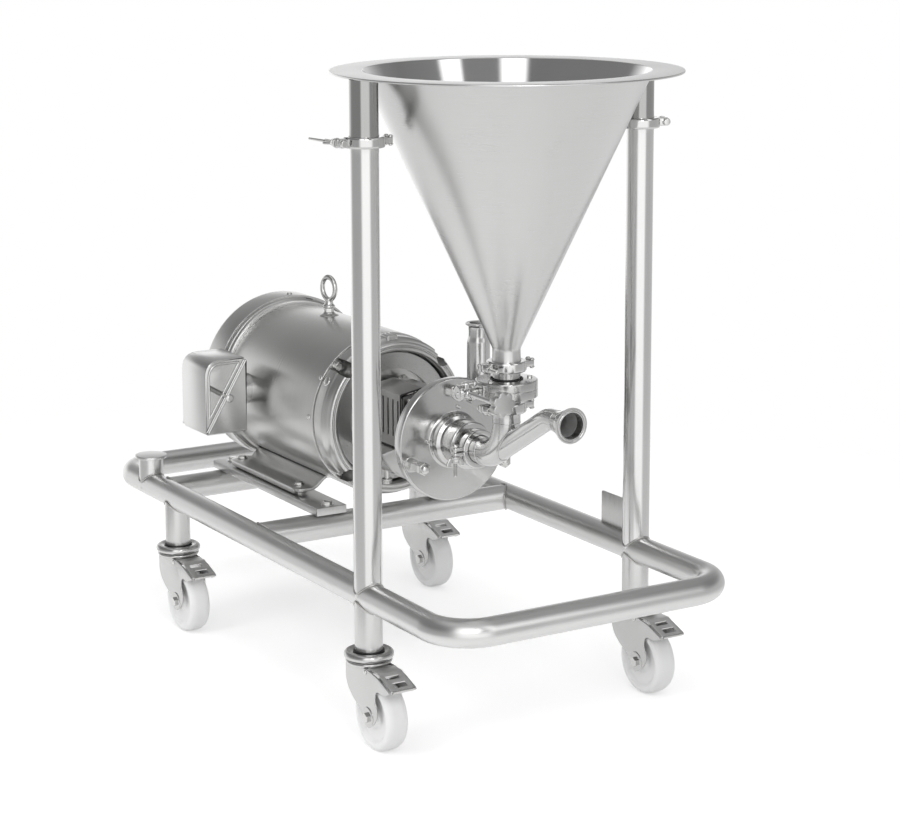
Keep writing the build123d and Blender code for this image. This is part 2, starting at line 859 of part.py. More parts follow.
# Shaft guard: a folded sheet with a shallow roof, slots in both sides, tabs that sit on the
# bulkhead at the front, and a clip at the back
guard_back = motor_face - adapter_flange
guard_slots = 6
slot_pitch = 19.0
guard_slot_width = 5.0
guard_slot_low = 461.0
guard_slot_high = 533.0
guard_tab = 8.0
guard_tab_low = 500.0
guard_tab_high = 538.0
guard_tab_sheet = 2.0
clip_x = 20.0
clip_width = 14.0
clip_depth = 16.0
clip_height = 5.0
with BuildPart() as shaft_guard:
    with BuildSketch(Plane.XZ.offset(-behind(guard_front))):
        with BuildLine():
            Polyline(
                (-guard_half_width, guard_foot),
                (-guard_half_width, guard_eave),
                (0, guard_ridge),
                (guard_half_width, guard_eave),
                (guard_half_width, guard_foot),
                (guard_half_width - guard_wall, guard_foot),
                (guard_half_width - guard_wall, guard_eave - guard_wall),
                (0, guard_ridge - guard_wall),
                (-guard_half_width + guard_wall, guard_eave - guard_wall),
                (-guard_half_width + guard_wall, guard_foot),
                close=True,
            )
        make_face()
    extrude(amount=-(guard_back - guard_front))
    with BuildSketch(Plane.YZ.offset(-2 * guard_half_width)):
        middle = behind((guard_front + guard_back) / 2)
        with Locations((middle, (guard_slot_low + guard_slot_high) / 2)):
            with GridLocations(slot_pitch, 1.0, guard_slots, 1):
                Rectangle(guard_slot_width, guard_slot_high - guard_slot_low)
    extrude(amount=4 * guard_half_width, mode=Mode.SUBTRACT)
    with BuildSketch(Plane.XZ.offset(-behind(guard_front))):
        tab_x = guard_half_width - guard_wall - guard_tab / 2
        with Locations((-tab_x, guard_tab_low), (tab_x, guard_tab_low)):
            Rectangle(guard_tab, guard_tab_high - guard_tab_low, align=(Align.CENTER, Align.MIN))
    extrude(amount=-guard_tab_sheet)
    with BuildSketch(Plane.XY.offset(guard_ridge - clip_height)):
        with Locations((clip_x, behind(guard_back))):
            Rectangle(clip_width, clip_depth, align=(Align.CENTER, Align.MAX))
    extrude(amount=clip_height)
    with BuildSketch(Plane.XY.offset(guard_ridge)):
        with Locations((clip_x, behind(guard_back - clip_depth / 2))):
            RegularPolygon(5.0, 6)
    extrude(amount=4.0)
save(shaft_guard, "shaft_guard")

# Pump housing: a deep cup with the tangential discharge pipe
housing_front = cover_face + cover_thickness
seal_bore = 24.0
cup = turned_on_shaft(
    [
        (housing_front, impeller_radius + 8.0),
        (housing_front, cover_radius - 3.0),
        (housing_front + 10.0, cover_radius - 3.0),
        (housing_front + 10.0, housing_radius),
        (housing_back, housing_radius),
        (housing_back, seal_bore),
        (housing_back - housing_wall, seal_bore),
        (housing_back - housing_wall, impeller_radius + 8.0),
    ]
)
with BuildPart() as pump_housing:
    add(cup.part)
    with BuildSketch(Plane.XY.offset(shaft_height)):
        with Locations((discharge_x, behind(discharge_reach))):
            Circle(discharge_radius)
    extrude(amount=648.0 - shaft_height)
    with BuildSketch(Plane.XY.offset(648.0)):
        with Locations((discharge_x, behind(discharge_reach))):
            Circle(discharge_radius)
    with BuildSketch(Plane.XY.offset(658.0)):
        with Locations((discharge_x, behind(discharge_reach))):
            Circle(discharge_neck_radius)
    loft()
    with BuildSketch(Plane.XY.offset(658.0)):
        with Locations((discharge_x, behind(discharge_reach))):
            Circle(discharge_neck_radius)
    extrude(amount=discharge_top - 658.0)
    lip = lip_outline(discharge_top, -1, discharge_neck_radius, 1.0, discharge_lip_radius, lip_depth + 1)
    add(turned_upright(discharge_x, behind(discharge_reach), lip).part)
    with BuildSketch(Plane.XY.offset(discharge_bore_end)):
        with Locations((discharge_x, behind(discharge_reach))):
            Circle(discharge_bore)
    extrude(amount=discharge_top - discharge_bore_end + 1.0, mode=Mode.SUBTRACT)
    with BuildSketch(Plane.XY.offset(discharge_throat_end)):
        with Locations((discharge_x, behind(discharge_reach))):
            Circle(discharge_throat)
    extrude(amount=discharge_bore_end - discharge_throat_end, mode=Mode.SUBTRACT)
    chamber = turned_on_shaft(
        [
            (housing_front - 1.0, 0.0),
            (housing_front - 1.0, impeller_radius + 8.0),
            (housing_back - housing_wall, impeller_radius + 8.0),
            (housing_back - housing_wall, 0.0),
        ]
    )
    add(chamber.part, mode=Mode.SUBTRACT)
save(pump_housing, "pump_housing")

# Pump cover: a thick disc with a stepped inlet hub and clamp lip
cover_turn = turned_on_shaft(
    [
        (inlet_face + gasket_thickness / 2, pipe_bore),
        (inlet_face + gasket_thickness / 2, lip_radius),
        (inlet_face + gasket_thickness / 2 + lip_edge, lip_radius),
        (inlet_face + gasket_thickness / 2 + lip_depth, tube_radius + 2.0),
        (118.0, tube_radius + 3.0),
        (120.0, 43.0),
        (122.0, 45.0),
        (143.0, 45.0),
        (146.0, 42.0),
        (162.0, 42.0),
        (166.0, 50.0),
        (cover_face - 4.0, 50.0),
        (cover_face, 54.0),
        (cover_face, cover_radius - 1.5),
        (cover_face + 1.5, cover_radius),
        (cover_face + cover_thickness, cover_radius),
        (cover_face + cover_thickness, 60.0),
        (cover_face + 4.0, 40.0),
        (cover_face - 20.0, pipe_bore),
    ]
)
nut_angles = (90.0, 210.0, 330.0)
nut_places = [
    (
        cover_nut_circle * math.cos(math.radians(a)),
        shaft_height + cover_nut_circle * math.sin(math.radians(a)),
    )
    for a in nut_angles
]
stud_radius = 5.0
with BuildPart() as pump_cover:
    add(cover_turn.part)
    with BuildSketch(Plane.XZ.offset(-behind(cover_face))):
        with Locations(*nut_places):
            Circle(stud_radius + 0.5)
    extrude(amount=-cover_thickness, mode=Mode.SUBTRACT)
save(pump_cover, "pump_cover")

nut_radius = 12.0
nut_depth = 11.0
with BuildPart() as cover_nuts:
    with BuildSketch(Plane.XZ.offset(-behind(cover_face))):
        with Locations(*nut_places):
            RegularPolygon(nut_radius, 6)
    extrude(amount=nut_depth)
    with BuildSketch(Plane.XZ.offset(-behind(cover_face - nut_depth))):
        with Locations(*nut_places):
            Circle(8.5)
    extrude(amount=8.0, taper=30)
    with BuildSketch(Plane.XZ.offset(-behind(cover_face))):
        with Locations(*nut_places):
            Circle(stud_radius)
    extrude(amount=-cover_thickness)
save(cover_nuts, "cover_nuts")

# Impeller: back plate with curved vanes and a hub on the shaft
vane_count = 6
vane_depth = 26.0
with BuildPart() as impeller:
    with BuildSketch(Plane.XZ.offset(-behind(impeller_front + vane_depth))):
        with Locations((0, shaft_height)):
            Circle(impeller_radius)
    extrude(amount=-6.0)
    with BuildSketch(Plane.XZ.offset(-behind(impeller_front))):
        with Locations((0, shaft_height)):
            Circle(20.0)
    extrude(amount=-(vane_depth + 20.0))
    for index in range(vane_count):
        turn = 2 * math.pi * index / vane_count
        with BuildSketch(Plane.XZ.offset(-behind(impeller_front))):
            with BuildLine():
                points = []
                for share in (0.0, 0.5, 1.0):
                    radius = 18.0 + (impeller_radius - 20.0) * share
                    angle = turn + 1.0 * share
                    points.append(
                        (radius * math.cos(angle), shaft_height + radius * math.sin(angle))
                    )
                back = []
                for share in (1.0, 0.5, 0.0):
                    radius = 18.0 + (impeller_radius - 20.0) * share
                    angle = turn + 1.0 * share + 4.0 / radius
                    back.append(
                        (radius * math.cos(angle), shaft_height + radius * math.sin(angle))
                    )
                ThreePointArc(*points)
                Line(points[-1], back[0])
                ThreePointArc(*back)
                Line(back[-1], points[0])
            make_face()
        extrude(amount=-vane_depth)
    bore = turned_on_shaft(
        [
            (shaft_front, 0.0),
            (shaft_front, 12.5),
            (impeller_front + 40.0, 12.5),
            (impeller_front + 40.0, 16.0),
            (impeller_front + 60.0, 16.0),
            (impeller_front + 60.0, 0.0),
        ]
    )
    add(bore.part, mode=Mode.SUBTRACT)
save(impeller, "impeller")

# Mechanical seal behind the impeller: fixed seat in the housing, turning face on the shaft
seal_front = impeller_front + 46.5
save(
    turned_on_shaft(
        [
            (seal_front, 16.0),
            (seal_front, seal_bore - 1.0),
            (seal_front + 8.0, seal_bore - 1.0),
            (seal_front + 8.0, 21.0),
            (seal_front + 26.0, 21.0),
            (seal_front + 26.0, 16.0),
        ]
    ),
    "shaft_seal",
)

# Mixing elbow: powder bend from the valve to the pump, with the rising liquid pipe
elbow_top = valve_lower_face - gasket_thickness
rise = math.radians(side_pipe_rise)
side_start_reach = 22.0
side_start_height = side_bend_height - (side_bend_reach + side_start_reach) * math.tan(rise)
reducer_start = 168.0
reducer_end = 192.0


def elbow_route(radius):
    with BuildPart() as piece:
        with BuildLine(Plane.YZ) as route:
            FilletPolyline(
                (hopper_y, elbow_top),
                (hopper_y, shaft_height),
                (behind(inlet_face - gasket_thickness / 2), shaft_height),
                radius=elbow_radius,
            )
        with BuildSketch(Plane.XY.offset(elbow_top)):
            with Locations((0, hopper_y)):
                Circle(radius)
        sweep(path=route.line)
    return piece


def side_route(radius):
    start = Plane(
        origin=(0, behind(side_start_reach), side_start_height),
        x_dir=(1, 0, 0),
        z_dir=(0, -math.cos(rise), math.sin(rise)),
    )
    with BuildPart() as piece:
        with BuildLine(Plane.YZ) as route:
            FilletPolyline(
                (behind(side_start_reach), side_start_height),
                (behind(-side_bend_reach), side_bend_height),
                (behind(-reducer_start), side_bend_height),
                radius=2.2 * side_pipe_radius,
            )
        with BuildSketch(start):
            Circle(radius)
        sweep(path=route.line)
    return piece


def side_end(pipe, small, lip):
    points = [
        (behind(-reducer_start + 0.5), small),
        (behind(-reducer_start), small),
        (behind(-reducer_end), pipe),
        (behind(-side_face_reach + lip_depth), pipe),
        (behind(-side_face_reach + lip_edge), lip),
        (behind(-side_face_reach), lip),
        (behind(-side_face_reach), 0.0),
        (behind(-reducer_start + 0.5), 0.0),
    ]
    with BuildPart() as piece:
        with BuildSketch(Plane.YZ):
            with BuildLine():
                Polyline(*[(y, side_bend_height + r) for y, r in points], close=True)
            make_face()
        revolve(axis=Axis((0, 0, side_bend_height), (0, 1, 0)))
    return piece


with BuildPart() as mixing_elbow:
    add(elbow_route(tube_radius).part)
    add(side_route(side_pipe_radius).part)
    add(side_end(tube_radius, side_pipe_radius, lip_radius).part)
    top_lip = lip_outline(elbow_top, -1, tube_radius, 1.0, lip_radius, lip_depth + 1.0)
    add(turned_upright(0, hopper_y, top_lip).part)
    add(
        turned_on_shaft(
            [
                (inlet_face - gasket_thickness / 2, 1.0),
                (inlet_face - gasket_thickness / 2, lip_radius),
                (inlet_face - gasket_thickness / 2 - lip_edge, lip_radius),
                (inlet_face - gasket_thickness / 2 - lip_depth, tube_radius),
                (inlet_face - gasket_thickness / 2 - lip_depth, 1.0),
            ]
        ).part
    )
    add(elbow_route(pipe_bore).part, mode=Mode.SUBTRACT)
    add(side_route(side_pipe_bore).part, mode=Mode.SUBTRACT)
    add(side_end(pipe_bore, side_pipe_bore, pipe_bore).part, mode=Mode.SUBTRACT)
save(mixing_elbow, "mixing_elbow")

# Valve body: a thick ring between two clamp lips, with a boss for the stem
valve_low = valve_height - valve_body_height / 2
valve_high = valve_height + valve_body_height / 2
valve_upper_face = hopper_lip_height - gasket_thickness
boss_out = 62.0
boss_half = 17.0
body_turn = turned_upright(
    0,
    hopper_y,
    [
        (pipe_bore, valve_lower_face),
        (lip_radius, valve_lower_face),
        (lip_radius, valve_lower_face + lip_edge),
        (tube_radius, valve_lower_face + lip_depth),
        (tube_radius, valve_low),
        (valve_radius - 2.0, valve_low),
        (valve_radius, valve_low + 2.0),
        (valve_radius, valve_high - 2.0),
        (valve_radius - 2.0, valve_high),
        (tube_radius, valve_high),
        (tube_radius, valve_upper_face - lip_depth),
        (lip_radius, valve_upper_face - lip_edge),
        (lip_radius, valve_upper_face),
        (pipe_bore, valve_upper_face),
    ],
)
with BuildPart() as valve_body:
    add(body_turn.part)
    with BuildSketch(Plane.YZ.offset(-boss_out)):
        with Locations((hopper_y, valve_height)):
            Rectangle(2 * boss_half, valve_body_height - 6.0)
    extrude(amount=boss_out - tube_radius - 6.0)
    with BuildSketch(Plane.YZ.offset(-boss_out - 1.0)):
        with Locations((hopper_y, valve_height)):
            Circle(stem_radius + stem_fit)
    extrude(amount=boss_out + tube_radius + 16.0, mode=Mode.SUBTRACT)
    with BuildSketch(Plane.XY.offset(valve_low - 10.0)):
        with Locations((0, hopper_y)):
            Circle(pipe_bore)
    extrude(amount=valve_body_height + 20.0, mode=Mode.SUBTRACT)
save(valve_body, "valve_body")

# Valve disc on its stem; the stem runs out to the handle
disc_radius = pipe_bore - disc_clearance
stem_out = -handle_x - 10.0
with BuildPart() as valve_disc:
    with BuildSketch(Plane.XY.offset(valve_height - disc_thickness / 2)):
        with Locations((0, hopper_y)):
            Circle(disc_radius)
    extrude(amount=disc_thickness)
    chamfer(valve_disc.edges().filter_by(GeomType.CIRCLE), 2.0)
    with BuildSketch(Plane.YZ.offset(-stem_out)):
        with Locations((hopper_y, valve_height)):
            Circle(stem_radius)
    extrude(amount=stem_out + tube_radius + 14.0)
save(valve_disc, "valve_disc")

# Valve handle: hub with a round cap, lever with a lobed knob, and the lock pin beside the hub
hub_radius = 11.0
hub_inner = 12.0
cap_radius = 14.0
cap_depth = 8.0
pin_radius = 3.2
pin_offset = 15.0
lobe_count = 7
knob_y = hopper_y - lever_length
lever_sink = 4.0
with BuildPart() as valve_handle:
    with BuildSketch(Plane.YZ.offset(handle_x - 8.0)):
        with Locations((hopper_y, valve_height)):
            Circle(hub_radius)
    extrude(amount=8.0 + hub_inner)
    with BuildSketch(Plane.YZ.offset(handle_x - 8.0 - cap_depth)):
        with Locations((hopper_y, valve_height)):
            Circle(cap_radius)
    extrude(amount=cap_depth)
    with BuildSketch(Plane.YZ.offset(handle_x - 4.0)):
        with Locations((hopper_y, valve_height + pin_offset / 2)):
            Rectangle(2 * pin_radius + 4.0, pin_offset + 2 * pin_radius)
    extrude(amount=10.0)
    with BuildSketch(Plane.YZ.offset(handle_x - 12.0)):
        with Locations((hopper_y, valve_height + pin_offset)):
            Circle(pin_radius)
    extrude(amount=-boss_out - turning_gap - handle_x + 12.0)
    with BuildSketch(Plane.XZ.offset(-(hopper_y - hub_radius + lever_sink))):
        with Locations((handle_x, valve_height)):
            Circle(lever_radius)
    extrude(amount=lever_length - hub_radius + lever_sink)
    with BuildSketch(Plane.YZ.offset(-stem_out - 1.0)):
        with Locations((hopper_y, valve_height)):
            Circle(stem_radius)
    extrude(amount=30.0, mode=Mode.SUBTRACT)
    with BuildSketch(Plane.XZ.offset(-knob_y)):
        with Locations((handle_x, valve_height)):
            Circle(knob_radius * 0.8)
            with PolarLocations(knob_radius * 0.68, lobe_count):
                Circle(knob_radius * 0.32)
    extrude(amount=knob_depth)
save(valve_handle, "valve_handle")

# Hopper: cone, neck with its clamp lip, and the flat rim
cone_top = rim_height - rim_thickness
hopper = turned_upright(
    0,
    hopper_y,
    [
        (pipe_bore, hopper_lip_height),
        (lip_radius, hopper_lip_height),
        (lip_radius, hopper_lip_height + lip_edge),
        (tube_radius, hopper_lip_height + lip_depth),
        (tube_radius, cone_foot_height),
        (hopper_opening + hopper_wall, cone_top),
        (rim_radius, cone_top),
        (rim_radius, rim_height),
        (hopper_opening, rim_height),
        (pipe_bore, cone_foot_height),
    ],
)
save(hopper, "hopper")

# Two stubs welded under the rim, each clamped to a post
with BuildPart() as hopper_stubs:
    for side in (-1, 1):
        stub_face = post_joint_height + gasket_thickness / 2
        outline = lip_outline(
            stub_face, 1, tube_radius, pipe_bore, lip_radius, cone_top - stub_face
        )
        add(turned_upright(side * rail_x, hopper_y, outline).part)
save(hopper_stubs, "hopper_stubs")


# Clamps: two grooved half rings, a hinge pin on one side, a bolt with a wing nut on the other
def clamp_ring(centre, lug_dir, pipe_dir, lip=lip_radius, ring=clamp_radius):
    base = Plane(origin=centre, x_dir=lug_dir, z_dir=pipe_dir)
    half = clamp_height / 2
    groove = gasket_thickness / 2 + lip_edge
    profile = Plane(origin=base.origin, x_dir=base.x_dir, z_dir=-base.y_dir)
    with BuildPart() as piece:
        with BuildSketch(profile):
            with BuildLine():
                Polyline(
                    (tube_radius + 3.0, -half),
                    (ring - 1.5, -half),
                    (ring, -half + 1.5),
                    (ring, half - 1.5),
                    (ring - 1.5, half),
                    (tube_radius + 3.0, half),
                    (tube_radius + 3.0, gasket_thickness / 2 + lip_depth + 0.6),
                    (lip + 0.4, groove + 0.6),
                    (lip + 0.4, -groove - 0.6),
                    (tube_radius + 3.0, -gasket_thickness / 2 - lip_depth - 0.6),
                    close=True,
                )
            make_face()
        revolve(axis=Axis(base.origin, base.z_dir))
        with BuildSketch(base.offset(-half * 0.8)):
            lug_middle = (ring + clamp_lug_reach) / 2 - 2.0
            lug_length = clamp_lug_reach - ring + 4.0
            lift = (clamp_split + clamp_lug_thickness) / 2
            with Locations((lug_middle, lift), (lug_middle, -lift)):
                Rectangle(lug_length, clamp_lug_thickness)
        extrude(amount=clamp_height * 0.8)
        with BuildSketch(base.offset(-half * 0.8)):
            with Locations((-ring - 5.0, 0)):
                Circle(6.5)
            with Locations((-ring - 2.0, 0)):
                Rectangle(6.0, 12.0)
        extrude(amount=clamp_height * 0.8)
        with BuildSketch(base.offset(-half - 1.0)):
            with Locations((0, 0)):
                Rectangle(2 * (ring + 1.0), clamp_split)
            with Locations((clamp_lug_reach / 2 + ring, 0)):
                Rectangle(clamp_lug_reach, clamp_split)
            with Locations((-ring - 5.0, 0)):
                Circle(2.6)
            Circle(tube_radius + 2.0)
        extrude(amount=clamp_height + 2.0, mode=Mode.SUBTRACT)
        with BuildSketch(base.offset(-half * 0.8 - 1.0)):
            with Locations((-ring - 9.0, 0)):
                Rectangle(12.0, 0.8)
        extrude(amount=clamp_height, mode=Mode.SUBTRACT)
        with BuildSketch(base.offset(-half * 0.9)):
            with Locations((-ring - 5.0, 0)):
                Circle(2.4)
        extrude(amount=clamp_height * 0.9)
        bolt_plane = Plane(
            origin=base.from_local_coords((clamp_lug_reach - 5.5, -clamp_bolt_length, 0)),
            x_dir=base.x_dir,
            z_dir=base.y_dir,
        )
        with BuildSketch(bolt_plane):
            Circle(clamp_bolt_radius + 0.4)
        extrude(amount=2 * clamp_bolt_length, mode=Mode.SUBTRACT)
    return piece


def clamp_bolt(centre, lug_dir, pipe_dir, towards):
    """Swing bolt through the lugs with its wing nut; towards is the end that carries the nut."""
    base = Plane(origin=centre, x_dir=lug_dir, z_dir=pipe_dir)
    lug_face = clamp_split / 2 + clamp_lug_thickness
    bolt_x = clamp_lug_reach - 5.5
    along = base.y_dir * towards
    start = Plane(
        origin=base.from_local_coords((bolt_x, -towards * (lug_face + 6.0), 0)),
        x_dir=base.x_dir,
        z_dir=along,
    )
    nut = Plane(
        origin=base.from_local_coords((bolt_x, towards * (lug_face + 0.3), 0)),
        x_dir=base.x_dir,
        z_dir=along,
    )
    with BuildPart() as bolt:
        with BuildSketch(start):
            Circle(clamp_bolt_radius + 3.0)
        extrude(amount=6.0)
        with BuildSketch(start):
            Circle(clamp_bolt_radius)
        extrude(amount=clamp_bolt_length)
    with BuildPart() as wing_nut:
        with BuildSketch(nut):
            Circle(9.0)
        extrude(amount=7.0)
        with BuildSketch(nut.offset(6.9)):
            Circle(7.0)
        extrude(amount=6.0)
        with BuildSketch(Plane(origin=nut.origin, x_dir=nut.z_dir, z_dir=nut.x_dir).offset(-2.0)):
            with BuildLine():
                Polyline((2, 6), (20, 13), (20, 19), (12, 19), (2, 12), close=True)
                Polyline((2, -6), (20, -13), (20, -19), (12, -19), (2, -12), close=True)
            make_face()
        extrude(amount=4.0)
        with BuildSketch(nut):
            Circle(clamp_bolt_radius + 0.1)
        extrude(amount=20.0, mode=Mode.SUBTRACT)
    return bolt, wing_nut


valve_upper_joint = (0, hopper_y, hopper_lip_height - gasket_thickness / 2)
valve_lower_joint = (0, hopper_y, valve_lower_face - gasket_thickness / 2)
inlet_joint = (0, behind(inlet_face), shaft_height)
left_joint = (-rail_x, hopper_y, post_joint_height)
right_joint = (rail_x, hopper_y, post_joint_height)
up = (0, 0, 1)
clamp_turn = math.radians(30)
left_lug = (-math.cos(clamp_turn), -math.sin(clamp_turn), 0)
right_lug = (math.cos(clamp_turn), -math.sin(clamp_turn), 0)
joints = {
    "upper_valve_clamp": (valve_upper_joint, (-1, 0, 0), up, 1),
    "lower_valve_clamp": (valve_lower_joint, (-1, 0, 0), up, 1),
    "inlet_clamp": (inlet_joint, (-1, 0, 0), (0, -1, 0), 1),
    "left_post_clamp": (left_joint, left_lug, up, -1),
    "right_post_clamp": (right_joint, right_lug, up, 1),
}
bolts_and_nuts = []
for clamp_name, (centre, lug_dir, pipe_dir, towards) in joints.items():
    save(clamp_ring(centre, lug_dir, pipe_dir), clamp_name)
    bolts_and_nuts.extend(clamp_bolt(centre, lug_dir, pipe_dir, towards))
with BuildPart() as clamp_wing_nuts:
    for item in bolts_and_nuts:
        add(item.part)
save(clamp_wing_nuts, "clamp_wing_nuts")

# Gaskets in the five clamped joints and the ring between housing and cover
with BuildPart() as gaskets:
    for x, y, z in (valve_upper_joint, valve_lower_joint, left_joint, right_joint):
        low = z - gasket_thickness / 2
        ring = turned_upright(
            x,
            y,
            [
                (pipe_bore, low),
                (lip_radius, low),
                (lip_radius, low + gasket_thickness),
                (pipe_bore, low + gasket_thickness),
            ],
        )
        add(ring.part)
    add(
        turned_on_shaft(
            [
                (inlet_face - gasket_thickness / 2, pipe_bore),
                (inlet_face - gasket_thickness / 2, lip_radius),
                (inlet_face + gasket_thickness / 2, lip_radius),
                (inlet_face + gasket_thickness / 2, pipe_bore),
            ]
        ).part
    )
save(gaskets, "gaskets")


# Castors: a head in the leg, a swivelling fork, the wheel, and a pedal hinged over the wheel
def castor_head(x, y):
    outline = [
        (0.0, castor_ring_low),
        (castor_ring_radius - 4.0, castor_ring_low),
        (castor_ring_radius, castor_ring_low + 4.0),
        (castor_ring_radius, castor_ring_high - 4.0),
        (castor_ring_radius - 4.0, castor_ring_high),
        (castor_ring_radius - 9.0, castor_ring_high),
        (castor_ring_radius - 14.0, castor_ring_high - 2.5),
        (tube_radius - tube_wall, castor_ring_high - 2.5),
        (tube_radius - tube_wall, castor_ring_high + 30.0),
        (0.0, castor_ring_high + 30.0),
    ]
    return turned_upright(x, y, outline)


def castor_fork(x, y):
    top = castor_ring_low - race_gap
    axle_y = y - castor_trail
    boss = 17.0
    outer = fork_half_gap + fork_sheet
    with BuildPart() as piece:
        for side in (-1, 1):
            start = x + side * outer if side < 0 else x + fork_half_gap
            with BuildSketch(Plane.YZ.offset(start)):
                with BuildLine():
                    Polyline(
                        (axle_y + 30.0, wheel_radius + 9.0),
                        (y + 8.0, wheel_radius + 20.0),
                        (y + 28.0, wheel_radius + 35.0),
                        (y + 36.0, wheel_radius + 52.0),
                        (y + 36.0, top),
                        (y - 34.0, top),
                        (y - 42.0, top - 7.0),
                        (y - 75.0, top - 8.5),
                        (y - 123.0, top - 30.0),
                        (y - 104.0, top - 38.0),
                        (y - 82.0, top - 37.0),
                        (y - 70.0, top - 45.0),
                        (y - 68.0, top - 58.0),
                        (axle_y - 31.0, wheel_radius + 9.0),
                    )
                    ThreePointArc(
                        (axle_y - 31.0, wheel_radius + 9.0),
                        (axle_y, wheel_radius - boss),
                        (axle_y + 30.0, wheel_radius + 9.0),
                    )
                make_face()
            extrude(amount=fork_sheet)
        with BuildSketch(Plane.XY.offset(top)):
            with Locations((x, y)):
                Circle(castor_ring_radius - 3.0)
        extrude(amount=-5.0)
        with BuildSketch(Plane.YZ.offset(x - outer - 7.0)):
            with Locations((axle_y, wheel_radius)):
                RegularPolygon(10.0, 6)
        extrude(amount=7.0)
        with BuildSketch(Plane.YZ.offset(x + outer)):
            with Locations((axle_y, wheel_radius)):
                RegularPolygon(10.0, 6)
        extrude(amount=9.0)
        with BuildSketch(Plane.YZ.offset(x - outer)):
            with Locations((axle_y, wheel_radius)):
                Circle(axle_radius)
        extrude(amount=2 * outer)
        with BuildSketch(Plane.YZ.offset(x - outer)):
            with Locations((y - pedal_pivot_back, pedal_pivot_height)):
                Circle(3.0)
        extrude(amount=2 * outer)
    return piece


def castor_wheel(x, y):
    axle_y = y - castor_trail
    half = wheel_width / 2
    outline = [
        (-half, axle_radius + axle_fit),
        (-half, 18.0),
        (-half + 8.0, 22.0),
        (-half + 8.0, 46.0),
        (-half + 1.0, 50.0),
        (-half, 54.0),
        (-half + 3.0, wheel_radius - 2.5),
        (-half + 8.0, wheel_radius),
    ]
    mirrored = [(-along, radius) for along, radius in reversed(outline)]
    points = [(x + along, wheel_radius + radius) for along, radius in outline + mirrored]
    with BuildPart() as piece:
        with BuildSketch(Plane.XZ.offset(-axle_y)):
            with BuildLine():
                Polyline(*points, close=True)
            make_face()
        revolve(axis=Axis((0, axle_y, wheel_radius), (1, 0, 0)))
    return piece


def castor_pedal(x, y):
    pivot_y = y - pedal_pivot_back
    half = fork_half_gap - 0.5
    sheet = 2.5
    with BuildPart() as piece:
        with BuildSketch(Plane.YZ.offset(x - half)):
            with BuildLine():
                Polyline(
                    (pivot_y + 6.0, pedal_pivot_height + 7.0),
                    (pivot_y - 39.0, pedal_pivot_height + 7.0),
                    (pivot_y - 87.0, pedal_pivot_height - 13.5),
                    (pivot_y - 87.0, pedal_pivot_height - 13.5 - sheet),
                    (pivot_y - 39.5, pedal_pivot_height + 7.0 - sheet),
                    (pivot_y + 6.0, pedal_pivot_height + 7.0 - sheet),
                    close=True,
                )
            make_face()
        extrude(amount=2 * half)
        with BuildSketch(Plane.YZ.offset(x - half)):
            with Locations((pivot_y, pedal_pivot_height)):
                Circle(6.5)
        extrude(amount=2 * half)
        with BuildSketch(Plane.YZ.offset(x - half)):
            with Locations((pivot_y, pedal_pivot_height)):
                Circle(3.06)
        extrude(amount=2 * half, mode=Mode.SUBTRACT)
        with BuildSketch(Plane.XY.offset(pedal_pivot_height - 30.0)):
            with Locations((x + 2.0, pivot_y - 71.0)):
                Rectangle(26.0, 15.0)
            with Locations((x - 2.0, pivot_y - 51.0)):
                Rectangle(26.0, 10.0)
        extrude(amount=60.0, mode=Mode.SUBTRACT)
    return piece


castor_places = {
    "front_left": (-rail_x, hopper_y),
    "front_right": (rail_x, hopper_y),
    "rear_left": (-rail_x, rear_leg_y),
    "rear_right": (rail_x, rear_leg_y),
}
with BuildPart() as castor_heads:
    for x, y in castor_places.values():
        add(castor_head(x, y).part)
save(castor_heads, "castor_heads")
for place, (x, y) in castor_places.items():
    save(castor_fork(x, y), f"{place}_fork")
    save(castor_wheel(x, y), f"{place}_wheel")
    save(castor_pedal(x, y), f"{place}_pedal")
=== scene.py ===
import math
import bmesh
import bpy
from mathutils import Matrix, Vector


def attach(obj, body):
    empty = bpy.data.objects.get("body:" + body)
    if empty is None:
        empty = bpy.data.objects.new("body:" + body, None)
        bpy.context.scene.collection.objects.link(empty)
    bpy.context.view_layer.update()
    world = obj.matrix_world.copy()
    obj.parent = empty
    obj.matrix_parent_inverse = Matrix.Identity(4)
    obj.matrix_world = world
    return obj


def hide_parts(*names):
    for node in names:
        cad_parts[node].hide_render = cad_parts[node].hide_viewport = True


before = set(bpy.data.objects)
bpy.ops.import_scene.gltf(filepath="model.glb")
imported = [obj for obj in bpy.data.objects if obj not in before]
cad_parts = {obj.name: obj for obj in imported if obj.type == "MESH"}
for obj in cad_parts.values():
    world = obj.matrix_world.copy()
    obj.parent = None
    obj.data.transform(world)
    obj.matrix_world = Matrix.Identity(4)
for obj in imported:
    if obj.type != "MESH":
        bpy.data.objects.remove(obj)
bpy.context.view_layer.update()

# Camera: in front of the hopper and to its left, a little above the rim, looking down by
# ten degrees with a long lens. Sizes in this script are millimetres, as on the drawing.
mm = 0.001
rightward, backward, upright = (1, 0, 0), (0, 1, 0), (0, 0, 1)
leftward, forward, downward = (-1, 0, 0), (0, -1, 0), (0, 0, -1)
sides = ((-1, "left"), (1, "right"))


def placed(name, data):
    """A new object in the scene that shows a mesh, a lamp or a camera."""
    thing = bpy.data.objects.new(name, data)
    bpy.context.collection.objects.link(thing)
    return thing


